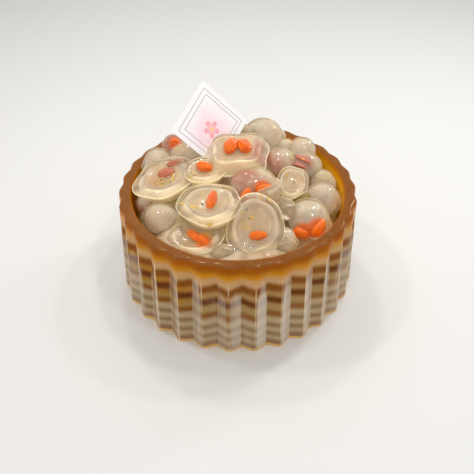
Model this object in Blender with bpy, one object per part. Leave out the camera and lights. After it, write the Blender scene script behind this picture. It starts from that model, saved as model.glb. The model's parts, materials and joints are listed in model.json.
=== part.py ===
"""Round layered jelly cake with a fluted side, a recessed top and a heap of stuffed fruit.

Units are metres, +Z is up, and the origin is the middle of the underside.
Bearings are degrees round the cake: 0 is the front (-Y) and 90 is the right (+X).
"""

import math
from collections import namedtuple

import bmesh
import bpy
import numpy as np
from mathutils import Matrix, Vector

# Driving dimensions of the moulded body
BASE_TIP_RADIUS = 0.0846
RIM_TIP_RADIUS = 0.0820
BODY_HEIGHT = 0.0754
FLUTES = 30
FIRST_FLUTE_BEARING = -4.0
FLUTE_DEPTH = 0.0046
FLUTE_TIP_SHARE = 0.16
FLUTE_FADE_START = 0.057
FLUTE_FADE_END = 0.0725
FLUTE_LEFT_AT_RIM = 0.30
LAYER_GAP = 0.0003

# Amber rim, round which the flutes run out in a soft shoulder
RIM_BOTTOM = 0.0650
SHOULDER_START = 0.0690
SHOULDER_MIDDLE = 0.0722
SHOULDER_MIDDLE_INSET = 0.0005
SHOULDER_END = 0.0742
SHOULDER_END_INSET = 0.0018
SHOULDER_END_DEPTH = 0.0013
RIM_TOP_INSET = 0.0042
RIM_TOP_DEPTH = 0.0006

# Recess in the top, lined with a thin wall and floor of amber jelly
RECESS_EDGE_RADIUS = 0.07335
RECESS_EDGE_ROUNDING = 0.0010
RECESS_FOOT_RADIUS = 0.0705
RECESS_FLOOR = 0.0510
LINER_BOTTOM = 0.0470
LINER_THICKNESS = 0.0030
ROUND_SEGMENTS = 60

# Clear jelly mound that carries the fruit, a cap cut from a ball
MOUND_RADIUS = 0.0575
MOUND_CENTRE_HEIGHT = 0.0268
MOUND_SEGMENTS = 24
MOUND_RINGS = 5

# Fruit and card
PIECE_GAP = 0.0003
BALL_SEGMENTS = 12
BALL_RINGS = 8
CUP_SEGMENTS = 14
BERRY_SEGMENTS = 8
BERRY_RINGS = 6
BALL_UNEVENNESS = 0.035
CUP_UNEVENNESS = 0.030
CARD_SIDE = 0.0440
CARD_THICKNESS = 0.0008
CARD_FOOT = Vector((-0.0130, 0.0110, 0.0815))
CARD_LEAN_BACK = 41.0
CARD_TURN = 33.0
CARD_ROLL = 12.3

# Each layer's name, lower and upper height, and colour, from the underside up
Layer = namedtuple("Layer", "name bottom top colour")
LAYERS = (
    Layer("layer_01_honey_edge", 0.0000, 0.0015, (0.62, 0.48, 0.21)),
    Layer("layer_02_mauve", 0.0015, 0.0070, (0.26, 0.14, 0.09)),
    Layer("layer_03_coconut", 0.0070, 0.0110, (0.48, 0.37, 0.28)),
    Layer("layer_04_taupe", 0.0110, 0.0145, (0.32, 0.24, 0.15)),
    Layer("layer_05_coconut", 0.0145, 0.0190, (0.47, 0.34, 0.21)),
    Layer("layer_06_taupe", 0.0190, 0.0230, (0.30, 0.22, 0.13)),
    Layer("layer_07_coconut", 0.0230, 0.0285, (0.44, 0.33, 0.20)),
    Layer("layer_08_brown_sugar", 0.0285, 0.0340, (0.20, 0.12, 0.06)),
    Layer("layer_09_coconut", 0.0340, 0.0410, (0.43, 0.37, 0.22)),
    Layer("layer_10_dark_sugar", 0.0410, 0.0470, (0.10, 0.05, 0.01)),
    Layer("layer_11_coconut", 0.0470, 0.0515, (0.36, 0.23, 0.10)),
    Layer("layer_12_brown_sugar", 0.0515, 0.0580, (0.20, 0.08, 0.01)),
    Layer("layer_13_coconut", 0.0580, 0.0650, (0.48, 0.28, 0.10)),
)

# Fruit pieces, listed from the one that lies on top to the one that is pressed most.
# width and depth are across the face, tall is along the facing direction, and the
# facing tilts away from straight up by tilt, towards the bearing called toward.
Fruit = namedtuple("Fruit", "name kind place width depth tall tilt toward turn")
FRUITS = (
    Fruit("cup_crown", "skirted", (-0.0004, 0.0095, 0.0960), 0.041, 0.037, 0.016, 6, 0, 0),
    Fruit("cup_front", "cup", (0.0110, -0.0469, 0.0800), 0.036, 0.043, 0.017, 48, 0, 12),
    Fruit("cup_centre", "cup", (-0.0180, -0.0340, 0.0835), 0.043, 0.036, 0.018, 12, -20, 8),
    Fruit("cup_left", "skirted", (-0.0485, 0.0010, 0.0790), 0.044, 0.040, 0.017, 14, -60, -6),
    Fruit("cup_front_left", "cup", (-0.0262, -0.0500, 0.0700), 0.037, 0.029, 0.017, 16, -30, -12),
    Fruit("cup_upper_left", "cup", (-0.0215, -0.0035, 0.0890), 0.029, 0.027, 0.014, 10, -40, 0),
    Fruit("ball_front_right", "ball", (0.0478, -0.0268, 0.0675), 0.032, 0.031, 0.029, 20, 60, 0),
    Fruit("cup_small_right", "cup", (0.0364, -0.0078, 0.0835), 0.023, 0.023, 0.013, 34, 10, 0),
    Fruit("ball_right", "ball", (0.0576, -0.0045, 0.0660), 0.026, 0.027, 0.028, 12, 90, 0),
    Fruit("ball_front_left", "ball", (-0.0506, -0.0256, 0.0655), 0.027, 0.026, 0.027, 10, -60, 0),
    Fruit("block_centre", "ball", (0.0100, -0.0120, 0.0880), 0.037, 0.024, 0.018, 8, 20, 10),
    Fruit("lump_behind_centre", "ball", (0.0290, 0.0170, 0.0840), 0.024, 0.022, 0.020, 10, 120, 20),
    Fruit("lump_right_streaked", "ball", (0.0485, 0.0205, 0.0775), 0.024, 0.020, 0.020, 16, 110, 30),
    Fruit("ball_back", "ball", (0.0197, 0.0510, 0.0820), 0.030, 0.030, 0.030, 0, 0, 0),
    Fruit("ball_back_right", "ball", (0.0468, 0.0378, 0.0785), 0.022, 0.022, 0.022, 0, 0, 0),
    Fruit("knob_back_right", "ball", (0.0350, 0.0405, 0.0800), 0.014, 0.014, 0.014, 0, 0, 0),
    Fruit("lump_far_right", "ball", (0.0600, 0.0120, 0.0690), 0.018, 0.024, 0.020, 10, 100, 0),
    Fruit("lump_front_right", "ball", (0.0305, -0.0460, 0.0660), 0.018, 0.017, 0.020, 0, 0, 0),
    Fruit("ball_left_rim", "ball", (-0.0570, 0.0225, 0.0785), 0.023, 0.023, 0.023, 0, 0, 0),
    Fruit("ball_under_card", "ball", (-0.0357, 0.0285, 0.0815), 0.026, 0.024, 0.022, 0, 0, 0),
    Fruit("lump_back_left", "ball", (-0.0465, 0.0405, 0.0800), 0.018, 0.020, 0.020, 0, 0, 0),
    Fruit("lump_left_rim", "ball", (-0.0640, -0.0090, 0.0680), 0.012, 0.014, 0.014, 0, 0, 0),
    Fruit("ball_behind_card", "ball", (-0.0070, 0.0520, 0.0790), 0.027, 0.028, 0.027, 0, 0, 0),
    Fruit("ball_back_corner", "ball", (-0.0295, 0.0500, 0.0760), 0.025, 0.025, 0.025, 0, 0, 0),
    Fruit("ball_behind_crown", "ball", (0.0040, 0.0340, 0.0840), 0.021, 0.020, 0.020, 0, 0, 0),
    Fruit("lump_front_fill", "ball", (-0.0050, -0.0575, 0.0655), 0.022, 0.018, 0.018, 0, 0, 0),
    Fruit("lump_back_low", "ball", (0.0360, 0.0500, 0.0640), 0.019, 0.019, 0.019, 0, 0, 0),
)

# Goji berries, each lying in the pit of a fruit piece: its place across and along the
# pit, its length and thickness, the way it points and how far one end is raised.
Berry = namedtuple("Berry", "name host across along length thick turn pitch")
BERRIES = (
    Berry("goji_crown_left", "cup_crown", -0.0046, 0.0010, 0.0140, 0.0086, 75, 0),
    Berry("goji_crown_right", "cup_crown", 0.0046, 0.0010, 0.0125, 0.0074, 110, 0),
    Berry("goji_centre", "cup_centre", 0.0020, 0.0015, 0.0140, 0.0068, 65, 22),
    Berry("goji_front", "cup_front", 0.0008, -0.0066, 0.0120, 0.0064, -8, 0),
    Berry("goji_left", "cup_left", 0.0005, 0.0030, 0.0130, 0.0070, 12, 0),
    Berry("goji_front_left", "cup_front_left", 0.0000, 0.0000, 0.0160, 0.0064, -38, 0),
    Berry("goji_upper_left", "cup_upper_left", 0.0000, 0.0008, 0.0125, 0.0072, -25, 0),
)

FRUIT_COLOUR = (0.60, 0.54, 0.45)
CUP_COLOUR = (0.66, 0.60, 0.46)
BERRY_COLOUR = (0.72, 0.10, 0.01)
MOUND_COLOUR = (0.42, 0.33, 0.12)
AMBER_COLOUR = (0.33, 0.12, 0.01)
CARD_COLOUR = (0.90, 0.86, 0.86)


def clear_scene():
    """Remove every object that is already there."""
    for thing in list(bpy.data.objects):
        bpy.data.objects.remove(thing, do_unlink=True)


def make_material(name, colour, roughness):
    """Return a Principled material of one colour."""
    material = bpy.data.materials.new(name)
    material.use_nodes = True
    shader = material.node_tree.nodes["Principled BSDF"]
    shader.inputs["Base Color"].default_value = (*colour, 1.0)
    shader.inputs["Roughness"].default_value = roughness
    shader.inputs["Metallic"].default_value = 0.0
    return material


def make_object(name, bm, material, parent, smooth_angle=None):
    """Turn a bmesh into a named object under the cake's empty."""
    bmesh.ops.recalc_face_normals(bm, faces=bm.faces)
    mesh = bpy.data.meshes.new(name)
    bm.to_mesh(mesh)
    bm.free()
    mesh.materials.append(material)
    if smooth_angle is not None:
        mesh.shade_smooth()
        mesh.set_sharp_from_angle(angle=math.radians(smooth_angle))
    thing = bpy.data.objects.new(name, mesh)
    bpy.context.scene.collection.objects.link(thing)
    thing.parent = parent
    return thing


def smooth_step(value):
    """Rise softly from 0 to 1."""
    value = min(max(value, 0.0), 1.0)
    return value * value * (3.0 - 2.0 * value)


def at_bearing(radius, bearing, height):
    """Return the point at a radius, a bearing in degrees and a height."""
    angle = math.radians(bearing)
    return Vector((radius * math.sin(angle), -radius * math.cos(angle), height))


def tip_radius(height):
    """Return the radius of the flute tips, which lean in slightly towards the rim."""
    return BASE_TIP_RADIUS + (RIM_TIP_RADIUS - BASE_TIP_RADIUS) * height / BODY_HEIGHT


def flute_depth(height):
    """Return how deep the flutes are, shallower near the rim."""
    fade = smooth_step((height - FLUTE_FADE_START) / (FLUTE_FADE_END - FLUTE_FADE_START))
    return FLUTE_DEPTH * (1.0 - (1.0 - FLUTE_LEFT_AT_RIM) * fade)


def add_loop(bm, points):
    """Add a closed loop of points and return its edges."""
    corners = [bm.verts.new(point) for point in points]
    following = corners[1:] + corners[:1]
    return [bm.edges.new(pair) for pair in zip(corners, following)]


def fluted_loop(bm, height, inset=0.0, depth=None):
    """Add the fluted outline at one height: two points on each tip, one in each valley."""
    depth = flute_depth(height) if depth is None else depth
    outer = tip_radius(height) - inset
    pitch = 360.0 / FLUTES
    half_tip = 0.5 * FLUTE_TIP_SHARE * pitch
    points = []
    for flute in range(FLUTES):
        tip = FIRST_FLUTE_BEARING + flute * pitch
        points.append(at_bearing(outer, tip - half_tip, height))
        points.append(at_bearing(outer, tip + half_tip, height))
        points.append(at_bearing(outer - depth, tip + 0.5 * pitch, height))
    return add_loop(bm, points)


def round_loop(bm, height, radius):
    """Add a circle at one height."""
    step = 360.0 / ROUND_SEGMENTS
    turns = [FIRST_FLUTE_BEARING + index * step for index in range(ROUND_SEGMENTS)]
    return add_loop(bm, [at_bearing(radius, turn, height) for turn in turns])


def bridge(bm, *loops):
    """Join each loop to the next one."""
    for lower, upper in zip(loops, loops[1:]):
        bmesh.ops.bridge_loops(bm, edges=lower + upper)


def fill(bm, *loops):
    """Fill a flat face inside one loop, or between an outer and an inner one."""
    edges = [edge for loop in loops for edge in loop]
    bmesh.ops.triangle_fill(bm, use_beauty=True, edges=edges)


def recess_radius(height):
    """Return the recess wall's radius, which narrows slightly towards the floor."""
    share = (height - RECESS_FLOOR) / (BODY_HEIGHT - RECESS_FLOOR)
    return RECESS_FOOT_RADIUS + (RECESS_EDGE_RADIUS - RECESS_FOOT_RADIUS) * share


def build_layer(layer, parent):
    """Build one set layer: a full fluted disc, or a ring where the amber liner passes."""
    top = layer.top - LAYER_GAP
    bm = bmesh.new()
    outer_low = fluted_loop(bm, layer.bottom)
    outer_high = fluted_loop(bm, top)
    bridge(bm, outer_low, outer_high)
    if layer.bottom < LINER_BOTTOM:
        fill(bm, outer_low)
        fill(bm, outer_high)
    else:
        clearance = LINER_THICKNESS + LAYER_GAP
        inner_low = round_loop(bm, layer.bottom, recess_radius(layer.bottom) + clearance)
        inner_high = round_loop(bm, top, recess_radius(top) + clearance)
        bridge(bm, inner_low, inner_high)
        fill(bm, outer_low, inner_low)
        fill(bm, outer_high, inner_high)
    return make_object(layer.name, bm, make_material(layer.name, layer.colour, 0.3), parent, 30)


def build_amber_rim(parent, material):
    """Build the amber rim: its fluted outside, soft shoulder, flat top and the recess edge."""
    bm = bmesh.new()
    outer = [
        fluted_loop(bm, RIM_BOTTOM),
        fluted_loop(bm, SHOULDER_START),
        fluted_loop(bm, SHOULDER_MIDDLE, SHOULDER_MIDDLE_INSET),
        fluted_loop(bm, SHOULDER_END, SHOULDER_END_INSET, SHOULDER_END_DEPTH),
        fluted_loop(bm, BODY_HEIGHT, RIM_TOP_INSET, RIM_TOP_DEPTH),
    ]
    bridge(bm, *outer)
    inner = [
        round_loop(bm, BODY_HEIGHT, RECESS_EDGE_RADIUS + RECESS_EDGE_ROUNDING),
        round_loop(bm, BODY_HEIGHT - RECESS_EDGE_ROUNDING, RECESS_EDGE_RADIUS),
        round_loop(bm, RIM_BOTTOM, recess_radius(RIM_BOTTOM)),
    ]
    bridge(bm, *inner)
    fill(bm, outer[-1], inner[0])
    fill(bm, outer[0], inner[-1])
    return make_object("amber_rim", bm, material, parent, 40)


def build_recess_wall(parent, material):
    """Build the thin amber wall of the recess below the rim."""
    top = RIM_BOTTOM - LAYER_GAP
    bm = bmesh.new()
    inner_low = round_loop(bm, RECESS_FLOOR, recess_radius(RECESS_FLOOR))
    inner_high = round_loop(bm, top, recess_radius(top))
    outer_low = round_loop(bm, RECESS_FLOOR, recess_radius(RECESS_FLOOR) + LINER_THICKNESS)
    outer_high = round_loop(bm, top, recess_radius(top) + LINER_THICKNESS)
    bridge(bm, inner_low, inner_high)
    bridge(bm, outer_low, outer_high)
    fill(bm, outer_low, inner_low)
    fill(bm, outer_high, inner_high)
    return make_object("recess_wall", bm, material, parent, 40)


def build_recess_floor(parent, material):
    """Build the amber floor of the recess, which also carries its wall."""
    bm = bmesh.new()
    low = round_loop(bm, LINER_BOTTOM, recess_radius(LINER_BOTTOM) + LINER_THICKNESS)
    top = RECESS_FLOOR - LAYER_GAP
    high = round_loop(bm, top, recess_radius(top) + LINER_THICKNESS)
    bridge(bm, low, high)
    fill(bm, low)
    fill(bm, high)
    return make_object("recess_floor", bm, material, parent, 40)


def build_mound(parent):
    """Build the clear jelly mound in the recess, its top a cap of a ball."""
    foot = RECESS_FLOOR + PIECE_GAP
    low = math.acos((foot - MOUND_CENTRE_HEIGHT) / MOUND_RADIUS)
    bm = bmesh.new()
    crown = bm.verts.new((0.0, 0.0, MOUND_CENTRE_HEIGHT + MOUND_RADIUS))
    previous = crown
    for ring in range(1, MOUND_RINGS + 1):
        angle = low * ring / MOUND_RINGS
        height = MOUND_CENTRE_HEIGHT + MOUND_RADIUS * math.cos(angle)
        corner = bm.verts.new((MOUND_RADIUS * math.sin(angle), 0.0, height))
        bm.edges.new((previous, corner))
        previous = corner
    middle = bm.verts.new((0.0, 0.0, foot))
    bm.edges.new((previous, middle))
    spin_profile(bm, MOUND_SEGMENTS)
    return make_object("jelly_mound", bm, make_material("clear_jelly", MOUND_COLOUR, 0.1), parent, 30)


def spin_profile(bm, segments):
    """Turn the profile drawn in bm once round the Z axis into a closed skin."""
    bmesh.ops.spin(
        bm,
        geom=bm.verts[:] + bm.edges[:],
        cent=(0.0, 0.0, 0.0),
        axis=(0.0, 0.0, 1.0),
        angle=math.tau,
        steps=segments,
        use_merge=True,
    )
    bmesh.ops.remove_doubles(bm, verts=bm.verts, dist=0.00001)


def facing_matrix(place, tilt, toward, turn):
    """Return the matrix that puts a piece in its place, tilted towards a bearing."""
    lean = Matrix.Rotation(math.radians(toward), 4, "Z")
    lean = lean @ Matrix.Rotation(math.radians(tilt), 4, "X")
    lean = lean @ Matrix.Rotation(math.radians(turn - toward), 4, "Z")
    return Matrix.Translation(place) @ lean


def roughen(bm, amount, phase):
    """Make a round piece uneven with a few broad swells."""
    for vert in bm.verts:
        x, y, z = vert.co
        angle = math.atan2(y, x)
        radius = math.hypot(x, y)
        swell = amount * math.sin(2.0 * angle + phase) + 0.6 * amount * math.sin(3.0 * angle - 2.0 * phase)
        swell *= min(radius, 1.0)
        lift = 0.5 * amount * math.sin(2.3 * x + phase) * min(1.0, radius)
        vert.co = Vector((x * (1.0 + swell), y * (1.0 + swell), z * (1.0 + lift)))


def ball_shape(phase):
    """Return a whole peeled fruit of unit radius, slightly uneven."""
    bm = bmesh.new()
    bmesh.ops.create_uvsphere(bm, u_segments=BALL_SEGMENTS, v_segments=BALL_RINGS, radius=1.0)
    roughen(bm, BALL_UNEVENNESS, phase)
    return bm


def cup_shape(profile, phase):
    """Return an opened fruit of unit radius, turned from its half outline."""
    bm = bmesh.new()
    corners = [bm.verts.new((radius, 0.0, height)) for radius, height in profile]
    for pair in zip(corners, corners[1:]):
        bm.edges.new(pair)
    spin_profile(bm, CUP_SEGMENTS)
    roughen(bm, CUP_UNEVENNESS, phase)
    return bm


# Half outlines, radius then height, from the underside round the edge into the pit,
# whose floor is at height 0
CUP_PROFILE = (
    (0.0, -1.0), (0.55, -0.88), (0.86, -0.35), (0.96, 0.20), (1.0, 0.52),
    (0.90, 0.74), (0.74, 0.80), (0.62, 0.60), (0.56, 0.0), (0.0, 0.0),
)
SKIRTED_PROFILE = (
    (0.0, -1.0), (0.62, -0.90), (1.0, -0.40), (0.98, -0.32), (0.84, 0.10),
    (0.78, 0.72), (0.68, 0.80), (0.60, 0.62), (0.56, 0.0), (0.0, 0.0),
)


def build_fruit(fruit, index, parent, materials):
    """Build one fruit piece in its place."""
    phase = 1.7 * index
    if fruit.kind == "ball":
        bm = ball_shape(phase)
        material = materials["fruit"]
    else:
        bm = cup_shape(CUP_PROFILE if fruit.kind == "cup" else SKIRTED_PROFILE, phase)
        material = materials["cup"]
    half_size = (0.5 * fruit.width, 0.5 * fruit.depth, 0.5 * fruit.tall)
    bmesh.ops.scale(bm, vec=half_size, verts=bm.verts)
    thing = make_object(fruit.name, bm, material, parent, 50)
    thing.matrix_world = facing_matrix(Vector(fruit.place), fruit.tilt, fruit.toward, fruit.turn)
    return thing


def build_berry(berry, hosts, parent, material):
    """Build one goji berry, lying in the pit of its fruit."""
    fruit = hosts[berry.host]
    bm = bmesh.new()
    bmesh.ops.create_uvsphere(bm, u_segments=BERRY_SEGMENTS, v_segments=BERRY_RINGS, radius=0.5)
    along = Matrix.Rotation(math.radians(90.0), 4, "Y")
    bmesh.ops.transform(bm, matrix=along, verts=bm.verts)
    bmesh.ops.scale(bm, vec=(berry.length, berry.thick, berry.thick), verts=bm.verts)
    thing = make_object(berry.name, bm, material, parent, 50)
    pitch = math.radians(berry.pitch)
    half_height = 0.5 * math.hypot(berry.length * math.sin(pitch), berry.thick * math.cos(pitch))
    spot = Matrix.Translation((berry.across, berry.along, half_height + PIECE_GAP))
    spot = spot @ Matrix.Rotation(math.radians(berry.turn), 4, "Z")
    spot = spot @ Matrix.Rotation(-pitch, 4, "Y")
    host_frame = facing_matrix(Vector(fruit.place), fruit.tilt, fruit.toward, fruit.turn)
    thing.matrix_world = host_frame @ spot
    return thing


def build_card(parent):
    """Build the blank card, a thin square that stands on one corner and leans back."""
    bm = bmesh.new()
    bmesh.ops.create_cube(bm, size=1.0)
    bmesh.ops.scale(bm, vec=(CARD_SIDE, CARD_SIDE, CARD_THICKNESS), verts=bm.verts)
    bmesh.ops.translate(bm, vec=(0.5 * CARD_SIDE, 0.5 * CARD_SIDE, 0.0), verts=bm.verts)
    thing = make_object("card", bm, make_material("card", CARD_COLOUR, 0.6), parent)
    face = Matrix.Rotation(math.radians(90.0 - CARD_LEAN_BACK), 4, "X")
    face = face @ Matrix.Rotation(math.radians(CARD_TURN), 4, "Y")
    face = face @ Matrix.Rotation(math.radians(45.0 + CARD_ROLL), 4, "Z")
    thing.matrix_world = Matrix.Translation(CARD_FOOT) @ face
    return thing


def world_points(thing):
    """Return an object's corners in the world as an array."""
    return np.array([thing.matrix_world @ vert.co for vert in thing.data.vertices])


def even_directions(count):
    """Return unit vectors spread evenly over a ball."""
    steps = np.arange(count) + 0.5
    height = 1.0 - 2.0 * steps / count
    radius = np.sqrt(1.0 - height * height)
    turn = math.pi * (1.0 + math.sqrt(5.0)) * steps
    return np.stack((radius * np.cos(turn), radius * np.sin(turn), height), axis=1)


DIRECTIONS = even_directions(900)


def flatten(thing, point, normal):
    """Cut away what lies behind a plane given in the world, and close the cut."""
    to_local = thing.matrix_world.inverted()
    local_point = to_local @ Vector(point)
    local_normal = (to_local.to_3x3() @ Vector(normal)).normalized()
    bm = bmesh.new()
    bm.from_mesh(thing.data)
    cut = bmesh.ops.bisect_plane(
        bm,
        geom=bm.verts[:] + bm.edges[:] + bm.faces[:],
        dist=0.000001,
        plane_co=local_point,
        plane_no=local_normal,
        clear_inner=True,
    )
    edges = [item for item in cut["geom_cut"] if isinstance(item, bmesh.types.BMEdge)]
    if edges:
        bmesh.ops.triangle_fill(bm, use_beauty=True, edges=edges)
        bmesh.ops.recalc_face_normals(bm, faces=bm.faces)
    bm.to_mesh(thing.data)
    bm.free()
    thing.data.update()


def press_apart(front, back):
    """Flatten the back piece where the front one presses on it, by the least amount."""
    reach = (world_points(front) @ DIRECTIONS.T).max(axis=0) + PIECE_GAP
    start = (world_points(back) @ DIRECTIONS.T).min(axis=0)
    best = int(np.argmin(reach - start))
    if reach[best] > start[best]:
        normal = DIRECTIONS[best]
        flatten(back, normal * reach[best], normal)


def settle(thing):
    """Flatten a piece where it rests on the mound and on the recess floor."""
    middle = Vector(world_points(thing).mean(axis=0))
    centre = Vector((0.0, 0.0, MOUND_CENTRE_HEIGHT))
    outward = (middle - centre).normalized()
    flatten(thing, centre + outward * (MOUND_RADIUS + PIECE_GAP), outward)
    flatten(thing, (0.0, 0.0, RECESS_FLOOR + PIECE_GAP), (0.0, 0.0, 1.0))


def build_heap(parent):
    """Build the card, the fruit and the berries, and press them clear of each other."""
    materials = {
        "fruit": make_material("peeled_fruit", FRUIT_COLOUR, 0.2),
        "cup": make_material("opened_fruit", CUP_COLOUR, 0.2),
        "berry": make_material("goji", BERRY_COLOUR, 0.3),
    }
    card = build_card(parent)
    pieces = []
    for index, fruit in enumerate(FRUITS):
        piece = build_fruit(fruit, index, parent, materials)
        settle(piece)
        for earlier in [card] + pieces:
            press_apart(earlier, piece)
        pieces.append(piece)
    hosts = {fruit.name: fruit for fruit in FRUITS}
    for berry in BERRIES:
        build_berry(berry, hosts, parent, materials["berry"])


def main():
    clear_scene()
    cake = bpy.data.objects.new("jelly_cake", None)
    bpy.context.scene.collection.objects.link(cake)
    for layer in LAYERS:
        build_layer(layer, cake)
    amber = make_material("amber_jelly", AMBER_COLOUR, 0.2)
    build_amber_rim(cake, amber)
    build_recess_wall(cake, amber)
    build_recess_floor(cake, amber)
    build_mound(cake)
    build_heap(cake)


main()
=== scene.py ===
import json
import math
import random
from collections import namedtuple

import bmesh
import bpy
from bpy.props import FloatProperty, FloatVectorProperty, IntProperty, PointerProperty
from bpy.types import Operator, Panel, PropertyGroup
from mathutils import Matrix, Vector, noise
from mathutils.bvhtree import BVHTree

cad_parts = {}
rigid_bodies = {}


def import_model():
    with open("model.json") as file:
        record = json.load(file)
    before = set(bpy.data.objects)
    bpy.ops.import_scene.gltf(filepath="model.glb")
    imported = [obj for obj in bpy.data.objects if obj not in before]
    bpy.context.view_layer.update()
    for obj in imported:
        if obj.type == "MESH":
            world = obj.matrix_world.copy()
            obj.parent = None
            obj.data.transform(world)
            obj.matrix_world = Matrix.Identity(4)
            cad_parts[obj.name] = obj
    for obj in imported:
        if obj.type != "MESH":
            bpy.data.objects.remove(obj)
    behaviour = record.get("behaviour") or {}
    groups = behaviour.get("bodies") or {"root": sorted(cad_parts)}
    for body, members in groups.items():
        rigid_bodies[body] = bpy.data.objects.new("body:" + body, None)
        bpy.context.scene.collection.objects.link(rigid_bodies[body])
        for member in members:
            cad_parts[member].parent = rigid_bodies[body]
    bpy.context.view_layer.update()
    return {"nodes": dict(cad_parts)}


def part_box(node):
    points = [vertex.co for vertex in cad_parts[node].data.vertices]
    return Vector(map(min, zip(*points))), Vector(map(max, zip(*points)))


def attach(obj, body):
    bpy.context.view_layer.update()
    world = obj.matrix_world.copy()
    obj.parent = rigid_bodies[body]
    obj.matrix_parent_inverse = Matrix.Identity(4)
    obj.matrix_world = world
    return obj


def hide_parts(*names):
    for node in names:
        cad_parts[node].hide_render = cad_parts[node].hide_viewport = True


bl_info = {
    "name": "Layered jelly cake",
    "version": (1, 0, 0),
    "blender": (4, 5, 0),
    "location": "3D View > Sidebar > Jelly cake",
    "description": "Dresses the packed jelly cake with its layers, fruit heap, berries and card",
    "category": "Add Mesh",
}

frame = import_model()


def seen(red, green, blue):
    """Turn a colour as it looks on a screen, 0 to 255, into the linear one that shaders take."""
    shares = (channel / 255.0 for channel in (red, green, blue))
    return tuple(s / 12.92 if s < 0.04045 else ((s + 0.055) / 1.055) ** 2.4 for s in shares)


# The mould: how its flutes run round the body and fade towards the rim
RIM_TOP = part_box("amber_rim")[1].z
RIM_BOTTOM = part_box("amber_rim")[0].z
BASE_TIP_RADIUS = 0.0846
RIM_TIP_RADIUS = 0.0820
FLUTES = 30
PITCH = 360.0 / FLUTES
FIRST_FLUTE_BEARING = -4.0
FLUTE_FADE_START = 0.057
FLUTE_FADE_END = 0.0725
FLUTE_LEFT_AT_RIM = 0.30
SHOULDER_BOTTOM = 0.0708
SHOULDER_INSET = 0.0044
RECESS_EDGE_RADIUS = 0.07335
RECESS_FOOT_RADIUS = 0.0705
RECESS_FLOOR = 0.0510
LINER_BOTTOM = 0.0470
LINER_THICKNESS = 0.0030

# How much of the way to a flute's valley its tip takes up, how sharp the valley is, how far the
# skin swells, and the share of the body's height where the cream layer begins to turn amber
TIP_SHARE = 0.12
VALLEY_SHARPNESS = 0.996
SKIN_SWELL = 0.00022
CREAM_TOP = 0.945

# The gap between the body's skin and the amber's, and how close a ring of points lies to an edge
SKIN_GAP = 0.00003
EDGE_LOOP = 0.00015

# How finely the skins are drawn: sides round the body and the bed, and steps up and across them
BODY_SIDES = FLUTES * 16
WALL_STEPS = 26
RIM_STEPS = 4
BED_SIDES = 96
BED_STEPS = 36

# The rounded edge at the underside: heights, and how far they stand in
FOOT_ROUNDING = ((0.0, 0.0016), (0.0003, 0.0007), (0.0009, 0.0003), (0.0018, 0.0))

# The rim's rounded shoulder: its steps, its curve, and the flutes' depth at its foot and its top
SHOULDER_STEPS = 8
SHOULDER_CURVE = 1.7
FLUTES_LEFT_AT_SHOULDER = 0.42
FLUTE_DEPTH_AT_TOP = 0.0013

# The recess: how round its edge is and in how many steps, how far that lies under the rim's top,
# the rings down its wall, and how round its foot is
RECESS_ROUNDING = 0.0012
RECESS_STEPS = 5
RECESS_DROP = 0.0001
RECESS_RINGS = (0.0720, 0.0690, 0.0650, 0.0600, 0.0560, 0.0530)
RECESS_FOOT_ROUNDING = 0.002

# The bed: its clearance in the recess, its least height, how far its brim and its face swell, the
# rings of places round each point that its height is the mean of, and the bearings in front
# where it fills the recess
BED_CLEARANCE = 0.0004
BED_LEAST = 0.0005
BRIM_SWELL = 0.0016
BED_SWELL = 0.0006
BLANKET_RINGS = (0.0, 0.003, 0.006)
BLANKET_TURNS = 8
FILL_MIDDLE = -8.0
FILL_REACH = 54.0
FILL_FADE = 16.0

# Each set layer from the underside up: its node, lower and upper height, and its finish
Layer = namedtuple("Layer", "node bottom top finish")
LAYERS = (
    Layer("layer_01_honey_edge", 0.0000, 0.0013, "honey"),
    Layer("layer_02_mauve", 0.0013, 0.0070, "mauve"),
    Layer("layer_03_coconut", 0.0070, 0.0110, "coconut"),
    Layer("layer_04_taupe", 0.0110, 0.0145, "taupe"),
    Layer("layer_05_coconut", 0.0145, 0.0190, "coconut"),
    Layer("layer_06_taupe", 0.0190, 0.0230, "taupe"),
    Layer("layer_07_coconut", 0.0230, 0.0285, "coconut"),
    Layer("layer_08_brown_sugar", 0.0285, 0.0340, "brown_sugar"),
    Layer("layer_09_coconut", 0.0340, 0.0410, "toasted_coconut"),
    Layer("layer_10_dark_sugar", 0.0410, 0.0470, "dark_sugar"),
    Layer("layer_11_coconut", 0.0470, 0.0515, "golden"),
    Layer("layer_12_brown_sugar", 0.0515, 0.0580, "brown_sugar"),
    Layer("layer_13_coconut", 0.0580, 0.0650, "cream"),
)

# The height that a look down on the heap starts from
LOOK_HEIGHT = 0.2

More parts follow.
